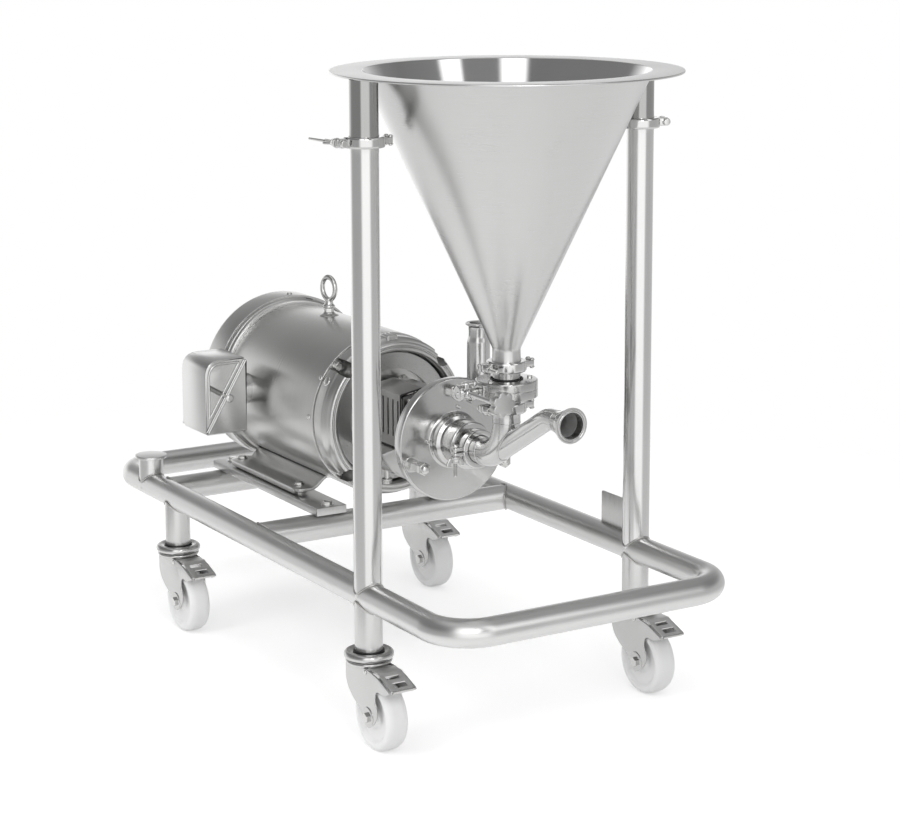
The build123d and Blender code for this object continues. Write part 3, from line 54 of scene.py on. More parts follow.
camera_place = Vector((-2287.47, -3986.40, 1541.09)) * mm
camera_data = bpy.data.cameras.new("photo_camera")
camera_data.sensor_fit = "HORIZONTAL"
camera_data.sensor_width = 36.0
camera_data.lens = 96.74
camera_data.shift_y = -0.1211
camera = placed("photo_camera", camera_data)
turn_left = Matrix.Rotation(-0.5431, 4, "Z")
tip_down = Matrix.Rotation(math.pi / 2 - 0.1787, 4, "X")
roll = Matrix.Rotation(-0.0033, 4, "Z")
camera.matrix_world = Matrix.Translation(camera_place) @ turn_left @ tip_down @ roll
bpy.context.scene.camera = camera
bpy.context.scene.view_settings.view_transform = "Standard"


# Studio: a white floor that fades into a white surround. Polished steel sees grey screens at
# the sides, a dim ceiling, and two tall white panels beside the camera.
def wired(tree, kind, **links):
    """A node with its inputs set to a value or joined to another node's output."""
    node = tree.nodes.new(kind)
    for key, value in links.items():
        numbered = key[0] == "i" and key[1:].isdigit()
        socket = node.inputs[int(key[1:]) if numbered else key]
        if isinstance(value, bpy.types.NodeSocket):
            tree.links.new(value, socket)
        else:
            socket.default_value = value
    return node


def arithmetic(tree, operation, first, second=0.0, third=0.0):
    """One sum in a node tree; MULTIPLY_ADD uses all three numbers."""
    node = wired(tree, "ShaderNodeMath", i0=first, i1=second, i2=third)
    node.operation = operation
    return node.outputs[0]


def stepped(tree, factor, stops):
    """Greys along a factor from (position, grey) stops."""
    node = wired(tree, "ShaderNodeValToRGB", i0=factor)
    ramp = node.color_ramp
    while len(ramp.elements) < len(stops):
        ramp.elements.new(0.5)
    for element, (place, grey) in zip(ramp.elements, stops):
        element.position = place
        element.color = (grey, grey, grey, 1.0)
    return node.outputs["Color"]


def between(tree, factor, first, second):
    """Blend of two numbers."""
    share = arithmetic(tree, "SUBTRACT", second, first)
    return arithmetic(tree, "MULTIPLY_ADD", share, factor, first)


def compass_stops(stops):
    """Ramp stops from (compass degrees, brightness), brightness 2 being full scale."""
    return sorted((((turn + 180.0) % 360.0) / 360.0, level / 2.0) for turn, level in stops)


def blank_finish(name):
    """A new material with an empty node tree."""
    finish = bpy.data.materials.new(name)
    finish.use_nodes = True
    finish.node_tree.nodes.clear()
    return finish, finish.node_tree


surround = bpy.data.worlds.new("studio_surround")
bpy.context.scene.world = surround
surround.use_nodes = True
sky = surround.node_tree
sky.nodes.clear()
facing = wired(sky, "ShaderNodeTexCoord").outputs["Generated"]
compass = wired(sky, "ShaderNodeSeparateXYZ", i0=facing)
bearing = arithmetic(sky, "ARCTAN2", compass.outputs["X"], compass.outputs["Y"])
bearing = arithmetic(sky, "MULTIPLY_ADD", bearing, 0.5 / math.pi, 0.5)
low_screens = stepped(sky, bearing, compass_stops([
    (182, 1.5), (226, 1.5), (238, 0.50), (300, 0.50), (322, 0.60), (338, 1.3), (29, 1.45),
    (46, 0.75), (120, 0.62), (158, 0.62), (170, 1.5), (178, 1.5)]))
high_screens = stepped(sky, bearing, compass_stops([
    (182, 0.30), (203, 0.30), (209, 2.0), (231, 2.0), (237, 0.24), (340, 0.26), (20, 0.44),
    (100, 0.24), (140, 0.30), (145, 1.9), (162, 1.9), (166, 0.30), (178, 0.30)]))
upward = compass.outputs["Z"]
above = wired(sky, "ShaderNodeMapRange", i0=upward, i1=0.16, i2=0.36)
overhead = wired(sky, "ShaderNodeMapRange", i0=upward, i1=0.80, i2=0.93)
screens = between(sky, above.outputs[0], low_screens, high_screens)
below = wired(sky, "ShaderNodeMapRange", i0=upward, i1=-0.20, i2=-0.40)
screens = between(sky, below.outputs[0], screens, 0.50)
reflected = between(sky, overhead.outputs[0], screens, 0.35)
ray = wired(sky, "ShaderNodeLightPath")
seen_directly = wired(sky, "ShaderNodeBackground", Color=(1.0, 1.0, 1.0, 1.0), Strength=1.0)
seen_in_steel = wired(sky, "ShaderNodeBackground", Color=reflected, Strength=2.0)
dome_light = wired(sky, "ShaderNodeBackground", Color=(1.0, 1.0, 1.0, 1.0), Strength=0.55)
mirrored = arithmetic(sky, "MAXIMUM", ray.outputs["Is Glossy Ray"],
                      ray.outputs["Is Transmission Ray"])
indirect = wired(sky, "ShaderNodeMixShader", i0=mirrored, i1=dome_light.outputs[0],
                 i2=seen_in_steel.outputs[0])
every_ray = wired(sky, "ShaderNodeMixShader", i0=ray.outputs["Is Camera Ray"],
                  i1=indirect.outputs[0], i2=seen_directly.outputs[0])
wired(sky, "ShaderNodeOutputWorld", i0=every_ray.outputs[0])

floor_finish, sweep = blank_finish("white_floor")
floor_place = wired(sweep, "ShaderNodeTexCoord")
floor_axes = wired(sweep, "ShaderNodeSeparateXYZ", i0=floor_place.outputs["Object"])
wide = arithmetic(sweep, "POWER", arithmetic(sweep, "MULTIPLY", floor_axes.outputs["X"], 1.2), 2.0)
long = arithmetic(sweep, "POWER", floor_axes.outputs["Y"], 2.0)
spot = arithmetic(sweep, "SQRT", arithmetic(sweep, "ADD", wide, long))
floor_mottle = wired(sweep, "ShaderNodeTexNoise", Scale=3.0, Detail=2.0)
floor_grey = stepped(sweep, floor_mottle.outputs[0], [(0.3, 0.80), (0.7, 0.81)])
floor_matt = wired(sweep, "ShaderNodeBsdfPrincipled", Roughness=0.6)
sweep.links.new(floor_grey, floor_matt.inputs["Base Color"])
floor_matt.inputs["Specular IOR Level"].default_value = 0.1
floor_glow = wired(sweep, "ShaderNodeEmission", Color=(1.0, 1.0, 1.0, 1.0), Strength=0.43)
floor_ray = wired(sweep, "ShaderNodeLightPath")
floor_mirrored = arithmetic(sweep, "MAXIMUM", floor_ray.outputs["Is Glossy Ray"],
                            floor_ray.outputs["Is Transmission Ray"])
floor_seen = arithmetic(sweep, "MAXIMUM", floor_ray.outputs["Is Camera Ray"], floor_mirrored)
floor_lit = wired(sweep, "ShaderNodeAddShader", i0=floor_matt.outputs[0], i1=floor_glow.outputs[0])
floor_any = wired(sweep, "ShaderNodeMixShader", i0=floor_seen, i1=floor_matt.outputs[0],
                  i2=floor_lit.outputs[0])
edge_seen = wired(sweep, "ShaderNodeMapRange", i0=spot, i1=1.5, i2=2.4)
edge_mirrored = wired(sweep, "ShaderNodeMapRange", i0=spot, i1=0.95, i2=1.35)
gone = between(sweep, floor_mirrored, edge_seen.outputs[0], edge_mirrored.outputs[0])
clear = wired(sweep, "ShaderNodeBsdfTransparent")
floor_faded = wired(sweep, "ShaderNodeMixShader", i0=gone, i1=floor_any.outputs[0],
                    i2=clear.outputs[0])
wired(sweep, "ShaderNodeOutputMaterial", i0=floor_faded.outputs[0])

floor_mesh = bpy.data.meshes.new("studio_floor")
sheet = bmesh.new()
bmesh.ops.create_grid(sheet, x_segments=24, y_segments=24, size=2.6)
sheet.to_mesh(floor_mesh)
sheet.free()
floor_mesh.materials.append(floor_finish)
studio_floor = placed("studio_floor", floor_mesh)


def soft_lamp(name, place, target, size, watts, in_steel=True):
    """A square softbox in metres, aimed at a point; in_steel says if steel mirrors it."""
    lamp = bpy.data.lights.new(name, "AREA")
    lamp.shape = "RECTANGLE"
    lamp.size, lamp.size_y = size
    lamp.energy = watts
    holder = placed(name, lamp)
    holder.location = place
    aim = Vector(target) - Vector(place)
    holder.rotation_euler = aim.to_track_quat("-Z", "Y").to_euler()
    holder.visible_glossy = in_steel


soft_lamp("overhead_softbox", (-0.4, -0.3, 3.4), (0, 0, 0.5), (2.6, 2.6), 46, False)
soft_lamp("front_softbox", (-1.0, -3.4, 2.3), (0, -0.1, 0.5), (0.7, 1.6), 22)
soft_lamp("left_softbox", (-3.2, -0.6, 1.9), (0, 0.1, 0.5), (1.2, 2.0), 22, False)


# Frame loop: four runs of 2 inch stainless tube with bent corners, butt-welded into one loop
# and belt-polished to an even satin, so that no seam shows in the runs.
def steel(name, tone, gloss, line_width=1.6, line_length=60.0, stretch=0.0, about=None,
          bump=0.10, spread=0.05, along_seam=True, smudges=0.12):
    """Stainless with fine brush lines, on the piece's unrolled surface unless along_seam is
    off. A stretch draws its highlights out round the axis that about names."""
    finish, tree = blank_finish(name)
    place = wired(tree, "ShaderNodeTexCoord")
    unrolled = place.outputs["UV"] if along_seam else place.outputs["Object"]
    lines = tree.nodes.new("ShaderNodeGroup")
    lines.node_tree = satin_lines
    tree.links.new(unrolled, lines.inputs["Place"])
    lines.inputs["Line width"].default_value = line_width * mm
    lines.inputs["Line length"].default_value = line_length * mm
    lines.inputs["Tone"].default_value = (*tone, 1.0)
    lines.inputs["Tone spread"].default_value = spread
    lines.inputs["Gloss"].default_value = gloss
    lines.inputs["Gloss spread"].default_value = smudges
    relief = wired(tree, "ShaderNodeBump", Height=lines.outputs["Height"], Strength=bump)
    relief.inputs["Distance"].default_value = 0.0004
    metal = wired(tree, "ShaderNodeBsdfPrincipled", Metallic=1.0)
    tree.links.new(lines.outputs["Colour"], metal.inputs["Base Color"])
    tree.links.new(lines.outputs["Roughness"], metal.inputs["Roughness"])
    tree.links.new(relief.outputs[0], metal.inputs["Normal"])
    if stretch:
        metal.inputs["Anisotropic"].default_value = stretch
        metal.inputs["Anisotropic Rotation"].default_value = 0.25
        run = tree.nodes.new("ShaderNodeTangent")
        run.direction_type = "RADIAL"
        run.axis = about
        tree.links.new(run.outputs[0], metal.inputs["Tangent"])
    wired(tree, "ShaderNodeOutputMaterial", i0=metal.outputs[0])
    return finish


def shared_group(name, inputs, outputs):
    """A node group with its named inputs and outputs; gives the group, its input and output."""
    group = bpy.data.node_groups.new(name, "ShaderNodeTree")
    kinds = {"v": "NodeSocketVector", "f": "NodeSocketFloat", "c": "NodeSocketColor"}
    for label, kind in inputs:
        group.interface.new_socket(label, in_out="INPUT", socket_type=kinds[kind])
    for label, kind in outputs:
        group.interface.new_socket(label, in_out="OUTPUT", socket_type=kinds[kind])
    return group, group.nodes.new("NodeGroupInput"), group.nodes.new("NodeGroupOutput")


satin_lines, given, result = shared_group(
    "satin_lines",
    [("Place", "v"), ("Line width", "f"), ("Line length", "f"), ("Tone", "c"),
     ("Tone spread", "f"), ("Gloss", "f"), ("Gloss spread", "f")],
    [("Colour", "c"), ("Roughness", "f"), ("Height", "f")],
)
split = wired(satin_lines, "ShaderNodeSeparateXYZ", i0=given.outputs["Place"])
across = arithmetic(satin_lines, "DIVIDE", split.outputs[0], given.outputs["Line width"])
length = arithmetic(satin_lines, "DIVIDE", split.outputs[1], given.outputs["Line length"])
third = arithmetic(satin_lines, "DIVIDE", split.outputs[2], given.outputs["Line width"])
stretched = wired(satin_lines, "ShaderNodeCombineXYZ", i0=across, i1=length, i2=third)
fine = wired(satin_lines, "ShaderNodeTexNoise", Vector=stretched.outputs[0], Scale=1.0, Detail=3.0)
smudge = wired(satin_lines, "ShaderNodeTexNoise", Vector=given.outputs["Place"], Scale=9.0,
               Detail=2.0)
line_share = arithmetic(satin_lines, "SUBTRACT", fine.outputs[0], 0.5)
smudge_share = arithmetic(satin_lines, "SUBTRACT", smudge.outputs[0], 0.5)
both = arithmetic(satin_lines, "MULTIPLY_ADD", smudge_share, 0.6, line_share)
tone_change = arithmetic(satin_lines, "MULTIPLY", both, given.outputs["Tone spread"])
tone_factor = arithmetic(satin_lines, "MULTIPLY_ADD", tone_change, 4.0, 1.0)
toned = satin_lines.nodes.new("ShaderNodeVectorMath")
toned.operation = "SCALE"
satin_lines.links.new(given.outputs["Tone"], toned.inputs[0])
satin_lines.links.new(tone_factor, toned.inputs["Scale"])
rough_change = arithmetic(satin_lines, "MULTIPLY", both, given.outputs["Gloss spread"])
rough = arithmetic(satin_lines, "ADD", given.outputs["Gloss"], rough_change)
satin_lines.links.new(toned.outputs[0], result.inputs["Colour"])
satin_lines.links.new(rough, result.inputs["Roughness"])
satin_lines.links.new(fine.outputs[0], result.inputs["Height"])


def finished(name, form, finish, nodes="", body="machine", sharp=38.0):
    """Turns a bmesh into a shown piece that rides on a body and hides the CAD nodes
    whose names are given."""
    mesh = bpy.data.meshes.new(name)
    bmesh.ops.recalc_face_normals(form, faces=form.faces)
    form.to_mesh(mesh)
    form.free()
    mesh.shade_smooth()
    mesh.set_sharp_from_angle(angle=math.radians(sharp))
    mesh.materials.append(finish)
    piece = placed(name, mesh)
    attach(piece, body)
    if nodes:
        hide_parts(*nodes.split())
    return piece


def bent_route(corners, radius, closed=False):
    """Points along straight runs joined by bends of one radius."""
    corners = [Vector(c) for c in corners]
    count = len(corners)
    points = []
    for index, corner in enumerate(corners):
        if not closed and index in (0, count - 1):
            points.append(corner)
            continue
        back = (corners[index - 1] - corner).normalized()
        ahead = (corners[(index + 1) % count] - corner).normalized()
        half = back.angle(ahead) / 2
        centre = corner + (back + ahead).normalized() * (radius / math.sin(half))
        first = corner + back * (radius / math.tan(half)) - centre
        last = corner + ahead * (radius / math.tan(half)) - centre
        swing = first.angle(last)
        steps = max(4, int(math.degrees(swing) / 5))
        for step in range(steps + 1):
            share = step / steps
            arm = (first * math.sin((1 - share) * swing) + last * math.sin(share * swing))
            points.append(centre + arm / math.sin(swing))
    return points


def swept(name, route, radius, finish, nodes="", body="machine", closed=False, bore=0.0,
          around=48, ripple=0.0):
    """A tube along a route in millimetres; bore opens its ends to show the wall."""
    points = [Vector(p) * mm for p in route]
    count = len(points)
    form = bmesh.new()
    grain = form.loops.layers.uv.new("grain")
    lengths = [0.0]
    for index in range(1, count + 1):
        lengths.append(lengths[-1] + (points[index % count] - points[index - 1]).length)
    across = None
    walls = [radius] if not bore else [radius, bore]
    rings = [[] for wall in walls]
    for index, point in enumerate(points):
        before = points[index - 1] if index or closed else point
        after = points[(index + 1) % count] if index < count - 1 or closed else point
        along = (after - before).normalized()
        if across is None:
            across = along.orthogonal().normalized()
        across = (across - along * across.dot(along)).normalized()
        up = along.cross(across)
        for ring, wall in zip(rings, walls):
            swell = 1.0 + ripple * math.sin(index * 1.9)
            loop = []
            for step in range(around):
                angle = 2 * math.pi * step / around
                arm = across * math.cos(angle) + up * math.sin(angle)
                loop.append(form.verts.new(point + arm * (wall * mm * swell)))
            ring.append(loop)
    runs = count if closed else count - 1
    for ring, wall in zip(rings, walls):
        for index in range(runs):
            here, there = ring[index], ring[(index + 1) % count]
            for step in range(around):
                side = (step + 1) % around
                face = form.faces.new((here[step], here[side], there[side], there[step]))
                spots = ((index, step), (index, step + 1), (index + 1, step + 1),
                         (index + 1, step))
                for corner, (i, s) in zip(face.loops, spots):
                    corner[grain].uv = (s * 2 * math.pi / around * wall * mm, lengths[i])
    if not closed:
        for end in (0, -1):
            if bore:
                outer, inner = rings[0][end], rings[1][end]
                for step in range(around):
                    side = (step + 1) % around
                    form.faces.new((outer[step], outer[side], inner[side], inner[step]))
            else:
                form.faces.new(rings[0][end])
    return finished(name, form, finish, nodes, body)


def weld_round(name, centre, main, branch):
    """Ground weld bead along the saddle where a branch tube stands on a tube of the same size."""
    centre, main, branch = Vector(centre), Vector(main), Vector(branch)
    side = main.cross(branch)
    inner, outer = tube_radius + 0.4, tube_radius + 1.3
    route = []
    for step in range(72):
        angle = 2 * math.pi * step / 72
        offset = inner * math.sin(angle)
        rise = math.sqrt(outer**2 - offset**2)
        route.append(centre + main * (inner * math.cos(angle)) + side * offset + branch * rise)
    swept(name, route, 1.7, weld_steel, closed=True, around=10, ripple=0.10)


tube_radius = 25.4
rail_x = 288.6
rail_height = 268.9
hopper_y = -393.0
front_tube_y = hopper_y - 284.2
rear_tube_y = 680.8
tube_steel = steel("satin_tube_steel", (0.63, 0.63, 0.625), 0.31, 1.0, 70.0, spread=0.04)
weld_steel = steel("ground_weld_steel", (0.50, 0.495, 0.485), 0.38, 2.2, 4.0, bump=0.35)
loop_corners = [
    (-rail_x, front_tube_y, rail_height),
    (rail_x, front_tube_y, rail_height),
    (rail_x, rear_tube_y, rail_height),
    (-rail_x, rear_tube_y, rail_height),
]
bend_radius = 76.2
swept("frame_loop", bent_route(loop_corners, bend_radius, closed=True), tube_radius, tube_steel,
      "left_rail right_rail front_bend rear_bend", closed=True)

# Cross tubes: the same tube, saddled at both ends and welded between the rails. The motor's
# bars stand on them.
cross_reaches = (446.5, 861.5)
for name, reach in zip(("front_cross_tube", "rear_cross_tube"), cross_reaches):
    y = hopper_y + reach
    ends = [(-rail_x + 12, y, rail_height), (rail_x - 12, y, rail_height)]
    swept(name + "_piece", ends, tube_radius, tube_steel, name)
    weld_round(name + "_weld_left", (-rail_x, y, rail_height), backward, rightward)
    weld_round(name + "_weld_right", (rail_x, y, rail_height), backward, leftward)


# Posts and legs: 2 inch tube again, saddled onto the rails, brushed lengthwise. Each post ends
# in a butt-welded sanitary clamp ferrule; each leg takes a castor.
def eased(outline, steps=4):
    """Outline points (along, radius, rounding) with each rounded corner drawn as an arc."""
    count = len(outline)
    points = []
    for index, spot in enumerate(outline):
        here = Vector(spot[:2])
        rounding = spot[2] if len(spot) > 2 else 0.0
        if not rounding:
            points.append(tuple(here))
            continue
        back = Vector(outline[index - 1][:2]) - here
        ahead = Vector(outline[(index + 1) % count][:2]) - here
        reach = min(rounding, 0.48 * back.length, 0.48 * ahead.length)
        first = here + back.normalized() * reach
        last = here + ahead.normalized() * reach
        for step in range(steps + 1):
            share = step / steps
            spot = first * (1 - share) ** 2 + here * (2 * share * (1 - share)) + last * share**2
            points.append(tuple(spot))
    return points


def turned(name, outline, origin, axis, finish, nodes="", body="machine", around=96,
           lengthwise=False, start=0.0, arc=360.0, sharp=38.0, zero=upright):
    """A piece turned about an axis from closed (along, radius, rounding) points in millimetres.
    An arc under 360 degrees makes a sector with flat ends, from the zero direction onwards."""
    profile = eased(outline)
    count = len(profile)
    origin, axis = Vector(origin) * mm, Vector(axis).normalized()
    zero = Vector(zero)
    if abs(axis.dot(zero)) > 0.9:
        zero = Vector(backward)
    across = (zero - axis * axis.dot(zero)).normalized()
    side = axis.cross(across)
    widest = max(radius for along, radius in profile) * mm
    whole = arc > 359.9
    form = bmesh.new()
    grain = form.loops.layers.uv.new("grain")
    lengths = [0.0]
    for index in range(1, count + 1):
        step = Vector(profile[index % count]) - Vector(profile[index - 1])
        lengths.append(lengths[-1] + step.length * mm)
    rings = []
    for step in range(around if whole else around + 1):
        angle = math.radians(start + arc * step / around)
        arm = across * math.cos(angle) + side * math.sin(angle)
        rings.append(
            [form.verts.new(origin + axis * (a * mm) + arm * (r * mm)) for a, r in profile]
        )
    for step in range(around):
        here, there = rings[step], rings[(step + 1) % len(rings)]
        for index in range(count):
            on = (index + 1) % count
            face = form.faces.new((here[index], here[on], there[on], there[index]))
            spots = ((index, step), (index + 1, step), (index + 1, step + 1), (index, step + 1))
            for corner, (i, s) in zip(face.loops, spots):
                spread_out = s * math.radians(arc) / around * widest
                run = (spread_out, lengths[i])
                corner[grain].uv = run if lengthwise else run[::-1]
    if not whole:
        form.faces.new(rings[0])
        form.faces.new(rings[-1])
    bmesh.ops.remove_doubles(form, verts=form.verts, dist=1e-7)
    return finished(name, form, finish, nodes, body, sharp)


pipe_bore = 23.75
lip_radius = 32.0


def ferrule(face, away, neck, pipe=tube_radius, bore=pipe_bore, lip=lip_radius):
    """Sanitary clamp ferrule from its sealing face back along the pipe: (along, radius)."""
    return [
        (face, bore, 0.4),
        (face, bore + 2.2),
        (face + away * 0.9, bore + 3.0, 0.4),
        (face + away * 0.9, bore + 4.4, 0.4),
        (face, bore + 5.2),
        (face, lip, 0.5),
        (face + away * 2.9, lip, 0.7),
        (face + away * 6.4, pipe + 0.4, 2.0),
        (face + away * neck, pipe),
    ]


post_joint_height = 1074.0
gasket_half = 0.8
post_steel = steel("lengthwise_post_steel", (0.64, 0.64, 0.635), 0.19, 0.9, 160.0, bump=0.05,
                   spread=0.03, smudges=0.03)
turned_steel = steel("turned_clamp_steel", (0.66, 0.66, 0.655), 0.14, 0.8, 60.0, bump=0.06)
for side, name in ((-1, "left_post"), (1, "right_post")):
    face = post_joint_height - gasket_half
    outline = ferrule(face, -1, 22)
    outline += [(rail_height, tube_radius), (rail_height, pipe_bore)]
    turned(name + "_piece", outline, (side * rail_x, hopper_y, 0), upright, post_steel, name,
           around=72, lengthwise=True)
    weld_round(name + "_weld", (side * rail_x, hopper_y, rail_height), backward, upright)

rear_leg_y = hopper_y + 799.9
leg_steel = steel("lengthwise_leg_steel", (0.57, 0.57, 0.565), 0.26, 0.9, 160.0, bump=0.05,
                  spread=0.05, smudges=0.03)
leg_foot = 169.0
for x in (-rail_x, rail_x):
    for y in (hopper_y, rear_leg_y):
        outline = [(leg_foot, pipe_bore), (leg_foot, tube_radius, 0.6), (rail_height, tube_radius),
                   (rail_height, pipe_bore)]
        corner = ("front" if y == hopper_y else "rear") + ("_left" if x < 0 else "_right")
        turned(corner + "_leg", outline, (x, y, 0), upright, leg_steel, "castor_legs", around=72,
               lengthwise=True)
        weld_round(corner + "_leg_weld", (x, y, rail_height), backward, downward)


# Capped socket on the left rail: a short stub of the frame's tube under a turned cap. The flat
# plate behind the right post is sheared from sheet. Both are welded on.
def inset(points, depth):
    """The same closed outline moved inwards by a depth, corner by corner."""
    count = len(points)
    area = sum(
        points[i][0] * points[(i + 1) % count][1] - points[(i + 1) % count][0] * points[i][1]
        for i in range(count)
    )
    turn = 1.0 if area > 0 else -1.0
    moved = []
    for index in range(count):
        here = Vector(points[index])
        back = (here - Vector(points[index - 1])).normalized()
        ahead = (Vector(points[(index + 1) % count]) - here).normalized()
        first = Vector((-back.y, back.x)) * turn
        second = Vector((-ahead.y, ahead.x)) * turn
        scale = depth / max(0.35, 1.0 + first.dot(second))
        moved.append(tuple(here + (first + second) * scale))
    return moved


def pressed(name, outline, low, high, origin, right, up, finish, nodes="", body="machine",
            holes=(), edge=0.8):
    """A flat piece of an outline with holes, from low to high along right x up, edges rounded."""
    origin, right, up = Vector(origin), Vector(right).normalized(), Vector(up).normalized()
    normal = right.cross(up)
    levels = [(1.0, 0.0), (0.55, 0.12), (0.15, 0.5), (0.0, 1.0)]
    form = bmesh.new()
    grain = form.loops.layers.uv.new("grain")
    flat = {}
    ends = ([], [])
    for number, loop in enumerate((outline, *holes)):
        points = eased(loop, 6)
        sign = 1.0 if number == 0 else -1.0
        rings = []
        stack = [(share, low + rise * edge) for share, rise in levels]
        stack += [(share, high - rise * edge) for share, rise in reversed(levels)]
        for share, level in stack:
            ring = []
            for a, b in inset(points, sign * share * edge):
                vert = form.verts.new((origin + right * a + up * b + normal * level) * mm)
                flat[vert] = (a * mm, b * mm)
                ring.append(vert)
            rings.append(ring)
        count = len(points)
        for here, there in zip(rings, rings[1:]):
            for index in range(count):
                on = (index + 1) % count
                form.faces.new((here[index], here[on], there[on], there[index]))
        for end, ring in zip(ends, (rings[0], rings[-1])):
            end += [form.edges.get((ring[i], ring[(i + 1) % count])) for i in range(count)]
    for end in ends:
        bmesh.ops.triangle_fill(form, edges=end, use_beauty=True, use_dissolve=False)
    for face in form.faces:
        for corner in face.loops:
            corner[grain].uv = flat[corner.vert]
    return finished(name, form, finish, nodes, body, 40.0)


def disc(a, b, radius, steps):
    """Round outline about a point."""
    angles = [2 * math.pi * i / steps for i in range(steps)]
    return [(a + radius * math.cos(angle), b + radius * math.sin(angle)) for angle in angles]


stub_y = hopper_y + 925.4
cap_outline = [(262, 0), (262, tube_radius), (325.2, tube_radius), (325.4, 33, 0.8),
               (331, 33, 1.8), (331, 0)]
turned("capped_stub_piece", cap_outline, (-rail_x, stub_y, 0), upright, tube_steel, "capped_stub",
       around=64)
weld_round("capped_stub_weld", (-rail_x, stub_y, rail_height), backward, upright)
plate_steel = steel("rolled_plate_steel", (0.56, 0.56, 0.555), 0.30, 1.4, 40.0)
pressed("post_plate_piece", [(25, 294, 1), (110.4, 294, 1), (110.4, 356.3, 3),
                             (25, 356.3, 1)], -2, 2, (rail_x, hopper_y, 0), backward,
        upright, plate_steel, "post_plate", edge=0.6)


# Mounting bars: two flat bars on the cross tubes. Hex bolts hold them down, and spacer washers
# lift the motor's feet off them.
def rod(low, high, radius, near=0.0, far=0.0):
    """Outline for turned of a plain round bar, its two edges rounded as given."""
    return [(low, 0), (low, radius, near), (high, radius, far), (high, 0)]


def oblong(left, right, low, high, bottom=0.0, top=0.0):
    """Outline for pressed of a rectangle, its lower and upper corners rounded as given."""
    return [(left, low, bottom), (right, low, bottom), (right, high, top), (left, high, top)]


def hex_head(name, place, axis, radius, height, nodes="", body="machine", washer=0.0):
    """A chamfered hexagon head or nut, on a plain washer where one is given."""
    lift = 0.0
    if washer:
        lift = 1.6
        turned(name + "_washer", rod(0, lift, washer, 0.4, 0.6), place, axis, bolt_steel,
               body=body, around=40)
    outline = [(lift, 0), (lift, radius), (lift + 0.82 * height, radius),
               (lift + height, 0.86 * radius, 0.6), (lift + height, 0)]
    turned(name, outline, place, axis, bolt_steel, nodes, body, around=6, sharp=22.0)


bolt_steel = steel("bright_bolt_steel", (0.60, 0.60, 0.59), 0.17, 0.6, 0.6, along_seam=False,
                   bump=0.05)
bar_x, foot_x, bar_top = 130, 127, 310.3
for side, name in sides:
    bar = oblong(-32.8, 32.8, 427.5, 890, 2, 2)
    pressed(name + "_mount_bar", bar, 294.3, bar_top, (side * bar_x, hopper_y, 0), rightward,
            backward, plate_steel, "mount_bars", edge=1.2)
    for reach in cross_reaches:
        hex_head(f"{name}_bar_bolt_{int(reach)}", (side * bar_x, hopper_y + reach, bar_top),
                 upright, 9.5, 6, "mounting_bolts", washer=12.5)
    for reach in (570, 824):
        spot = (side * foot_x, hopper_y + reach, 0)
        spacer = rod(bar_top, 318.3, 17, 0.8, 0.8)
        turned(f"{name}_foot_spacer_{int(reach)}", spacer, spot, upright, turned_steel,
               "mounting_bolts", around=40)
        hex_head(f"{name}_foot_bolt_{int(reach)}", (side * foot_x, hopper_y + reach, 323.3),
                 upright, 8.4, 3.6, "mounting_bolts", washer=11.0)


# Motor feet: on each side one pressed sheet that curves up from a flat flange and is welded to
# the shell.
def break_edges(piece, width, sharp):
    """Edges sharper than an angle get the small bevel that a file or a tumbler leaves."""
    broken = piece.modifiers.new("broken_edges", "BEVEL")
    broken.width = width * mm
    broken.segments = 2
    broken.limit_method = "ANGLE"
    broken.angle_limit = math.radians(sharp)
    return broken


shaft_height = 478.3
motor_steel = steel("satin_motor_steel", (0.56, 0.56, 0.552), 0.29, 0.9, 220.0, bump=0.06,
                    spread=0.05, smudges=0.06)
# Near-black steel for painted shadow in gaps and notches.
seam_steel = steel("dark_painted_gap_shadow_steel", (0.10, 0.10, 0.10), 0.5, 1.0, 1.0, along_seam=False)
for side, name in sides:
    bend = [(88, 345), (92, 342.2), (97.6, 338), (103.6, 332.6), (109.6, 327.4),
            (115.4, 324.3), (121.6, 323.3), (134, 323.3), (140, 323.3), (145, 323.3),
            (149, 323.3), (151.3, 322.9), (152.4, 321.4), (152.7, 318), (152.7, 313.4)]
    form = bmesh.new()
    grain = form.loops.layers.uv.new("grain")
    rows = []
    travelled = 0.0
    for index, (x, z) in enumerate(bend):
        if index:
            travelled += math.hypot(x - bend[index - 1][0], z - bend[index - 1][1])
        corner = min(1.0, max(0.0, x - 136.0) / 16.0)
        pull = 16.0 * (1.0 - math.sqrt(max(0.0, 1.0 - corner**2)))
        first, last = 530 + pull, 818 if x < 112 else 838 - pull
        row = []
        for step in range(25):
            y = hopper_y + first + (last - first) * step / 24
            row.append((form.verts.new(Vector((side * x, y, z)) * mm), (travelled * mm, y * mm)))
        rows.append(row)
    for here, there in zip(rows, rows[1:]):
        for step in range(24):
            corners = (here[step], here[step + 1], there[step + 1], there[step])
            face = form.faces.new([vert for vert, spot in corners])
            for corner, (vert, spot) in zip(face.loops, corners):
                corner[grain].uv = spot
    foot = finished(name + "_motor_foot", form, motor_steel, "motor_foot")
    sheet_thickness = foot.modifiers.new("sheet_thickness", "SOLIDIFY")
    sheet_thickness.thickness = 5.0 * mm
    flattest = max(foot.data.polygons, key=lambda face: abs(face.normal.z))
    sheet_thickness.offset = -1.0 if flattest.normal.z > 0 else 1.0
    break_edges(foot, 0.8, 50.0)
    # A thin dark tube along the top of each foot is painted shadow of the gap between the foot and
    # the shell.
    seam_route = [(side * 90, hopper_y + 531 + step * 7, 345.2) for step in range(42)]
    swept(name + "_foot_gap_shadow", seam_route, 1.5, seam_steel, around=10)


